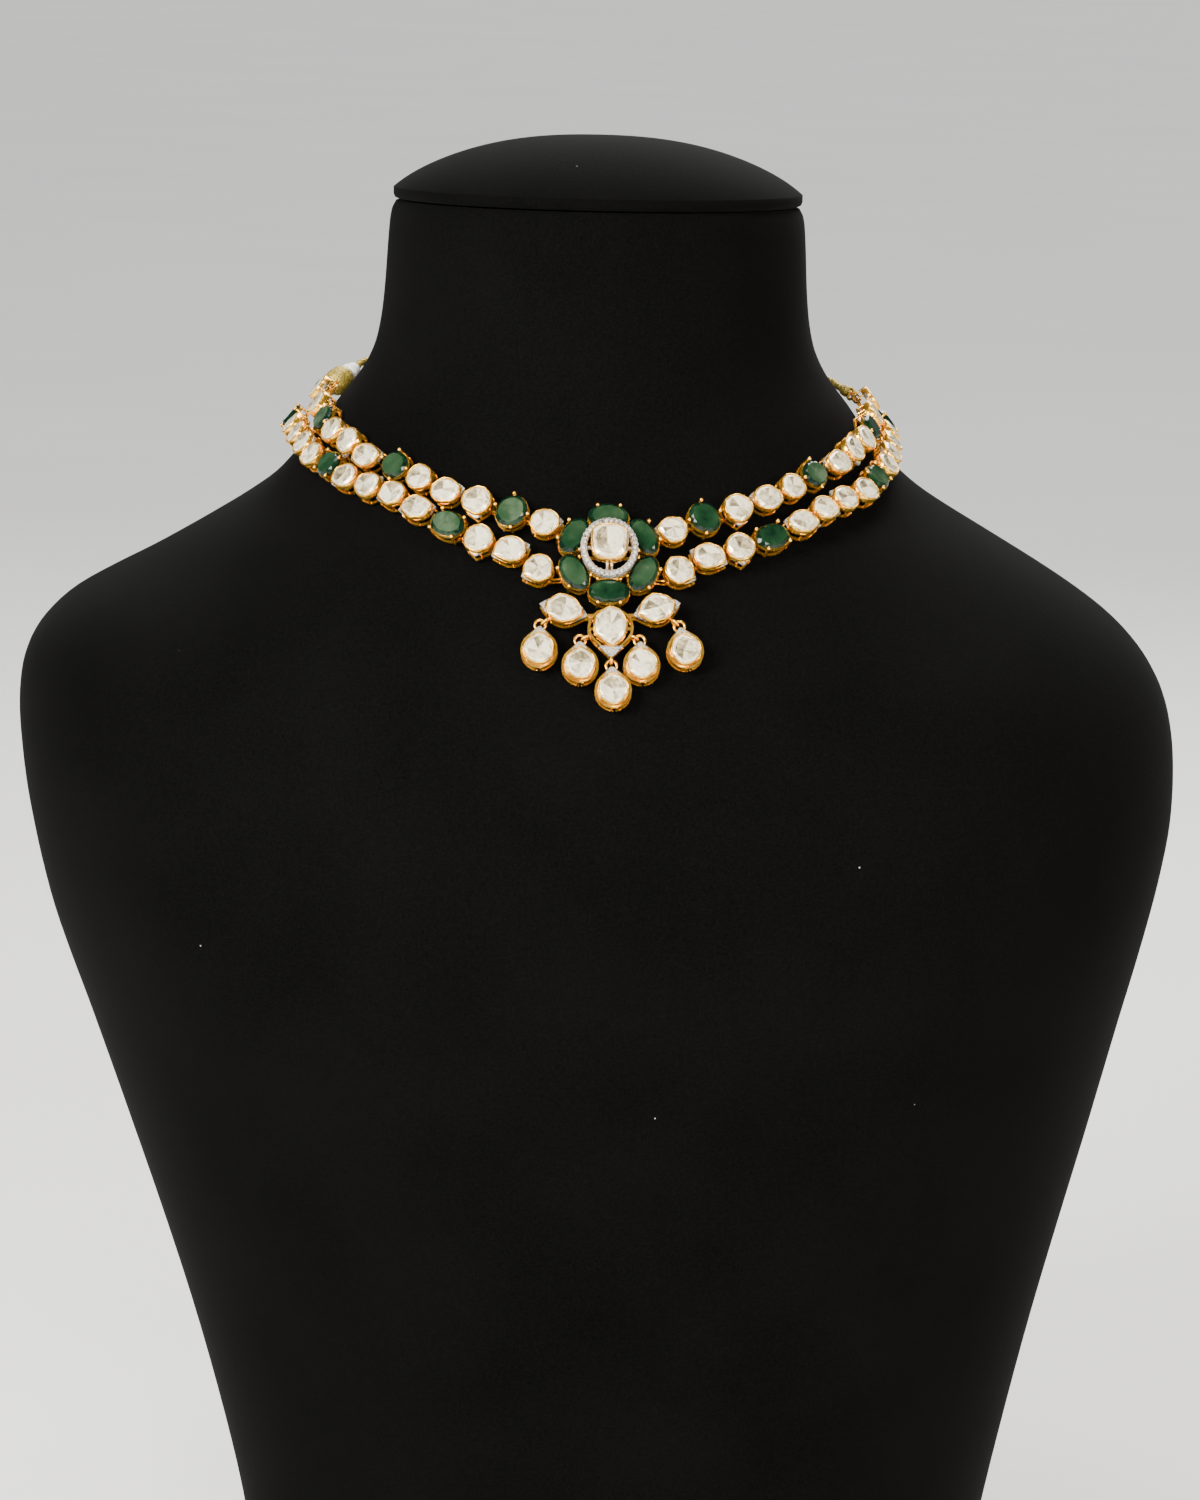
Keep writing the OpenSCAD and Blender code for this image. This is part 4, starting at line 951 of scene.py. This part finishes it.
def dress_halo():
    centre = polki_of["centre"][0]
    (x0, x1), (y0, y1), (_, level) = halo_box()
    a, b = (x1 - x0 - RING) / 2, (y1 - y0 - RING) / 2
    turns = [2 * math.pi * k / HALO_STEPS for k in range(HALO_STEPS + 1)]
    walk = [(a * math.cos(t), b * math.sin(t)) for t in turns]
    lengths = [0.0]
    for p, q in zip(walk, walk[1:]):
        lengths.append(lengths[-1] + math.dist(p, q))
    count = int(lengths[-1] / HALO_PITCH)
    for k in range(count):
        for shift, grow in ((0, 0), (0.5, 1), (0.5, -1)):
            i = next(i for i, run in enumerate(lengths) if run >= (k + shift) / count * lengths[-1])
            x, y = walk[i]
            reach = 1 + grow * BEADS_ASIDE / math.hypot(x, y)
            spot = centre.world((x0 + x1) / 2 + reach * x, (y0 + y1) / 2 + reach * y, level + BEAD_LIFT)
            if grow:
                metal_bead(beads_heap, spot, centre.out, HALO_BEAD)
            else:
                brilliant(stones_heap, spot + STONE_LIFT * centre.out, centre.out, HALO_STONE, k)
    return count, round(level / MM, 2)


print("halo diamonds and level:", dress_halo())
for name, heap, finish, slot in (("white_plates", plates, white_metal, "white_gold"),
                                 ("small_diamonds", stones_heap, diamond, "white_gold"),
                                 ("metal_beads", beads_heap, white_metal, "white_gold")):
    heap.piece(name, finish.material, slot)

# %% [markdown]
# ## The metal that the CAD made
# The frames, wires, loops and rings are right as they are. They get their finish and a fine
# bevel, because no polished edge is truly sharp and the bevel is what catches the light.

# %% Dress the CAD metal
EDGE, EDGE_STEPS, SHARP = 0.17 * MM, 3, math.radians(40)
for name, made in nodes.items():
    if made.hide_render or any(word in name for word in ("polki", "emerald", "dori", "neck")):
        continue
    finish = white_metal if name == "halo_setting" else gold
    made.data.materials.clear()
    made.data.materials.append(finish.material)
    made.data.polygons.foreach_set("use_smooth", [True] * len(made.data.polygons))
    if "custom_normal" in made.data.attributes:
        made.data.attributes.remove(made.data.attributes["custom_normal"])
    weld = made.modifiers.new("weld", "WELD")
    weld.merge_threshold = WELD
    bevel = made.modifiers.new("bevel", "BEVEL")
    bevel.width, bevel.segments = EDGE, EDGE_STEPS
    bevel.limit_method, bevel.angle_limit = "ANGLE", SHARP
    bevel.use_clamp_overlap = bevel.harden_normals = True

# %% [markdown]
# ## Floor and light
# A plain pale floor and soft light: a wide soft sun for the floor, lamps high on the left, in
# front and on the right that put bright lines on the metal, one above and one behind that light
# the cord and the nape, and a dim pale sky between them.

# %% Floor, lamps and sky
FAR = 40
floor_mesh = bpy.data.meshes.new("floor")
floor_corners = [(-FAR, -FAR, 0), (FAR, -FAR, 0), (FAR, FAR, 0), (-FAR, FAR, 0)]
floor_mesh.from_pydata(floor_corners, [], [(0, 1, 2, 3)])
floor = bpy.data.objects.new("floor", floor_mesh)
bpy.context.scene.collection.objects.link(floor)
pale = Finish("pale_floor", Roughness=0.7)
pale.feed("Base Color", pale.ramp(pale.noise(3, 2), (0.3, (0.84, 0.83, 0.81)), (0.7, (0.87, 0.86, 0.84))))
floor_mesh.materials.append(pale.material)


def lamp(name, place, aim, size, power, colour=(1, 1, 1)):
    data = bpy.data.lights.new(name, "AREA")
    data.shape, data.size, data.energy, data.color = "DISK", size, power, colour
    made = bpy.data.objects.new(name, data)
    bpy.context.scene.collection.objects.link(made)
    made.location = place
    made.rotation_euler = (Vector(aim) - Vector(place)).to_track_quat("-Z", "Y").to_euler()


NECKLACE = (-0.012, -0.052, 0.3)
lamp("key", (-1.0, -1.15, 1.05), NECKLACE, size=0.75, power=66, colour=(1, 0.98, 0.93))
lamp("fill", (1.1, -1.0, 0.7), NECKLACE, size=0.5, power=18, colour=(1, 0.9, 0.76))
lamp("front", (0.2, -1.6, 0.75), NECKLACE, size=0.5, power=20)
lamp("top", (-0.1, -0.35, 1.9), NECKLACE, size=0.7, power=10)
lamp("back", (0.2, 1.3, 1.2), NECKLACE, size=0.8, power=16)
sun = bpy.data.lights.new("sun", "SUN")
sun.energy, sun.angle = 3.0, math.radians(25)
sun_lamp = bpy.data.objects.new("sun", sun)
bpy.context.scene.collection.objects.link(sun_lamp)
sun_lamp.rotation_euler = (math.radians(35), 0, math.radians(160))
sky = bpy.data.worlds.new("sky")
sky.use_nodes = True
sky.node_tree.nodes["Background"].inputs["Color"].default_value = (0.9, 0.92, 0.95, 1)
sky.node_tree.nodes["Background"].inputs["Strength"].default_value = 0.2
bpy.context.scene.world = sky
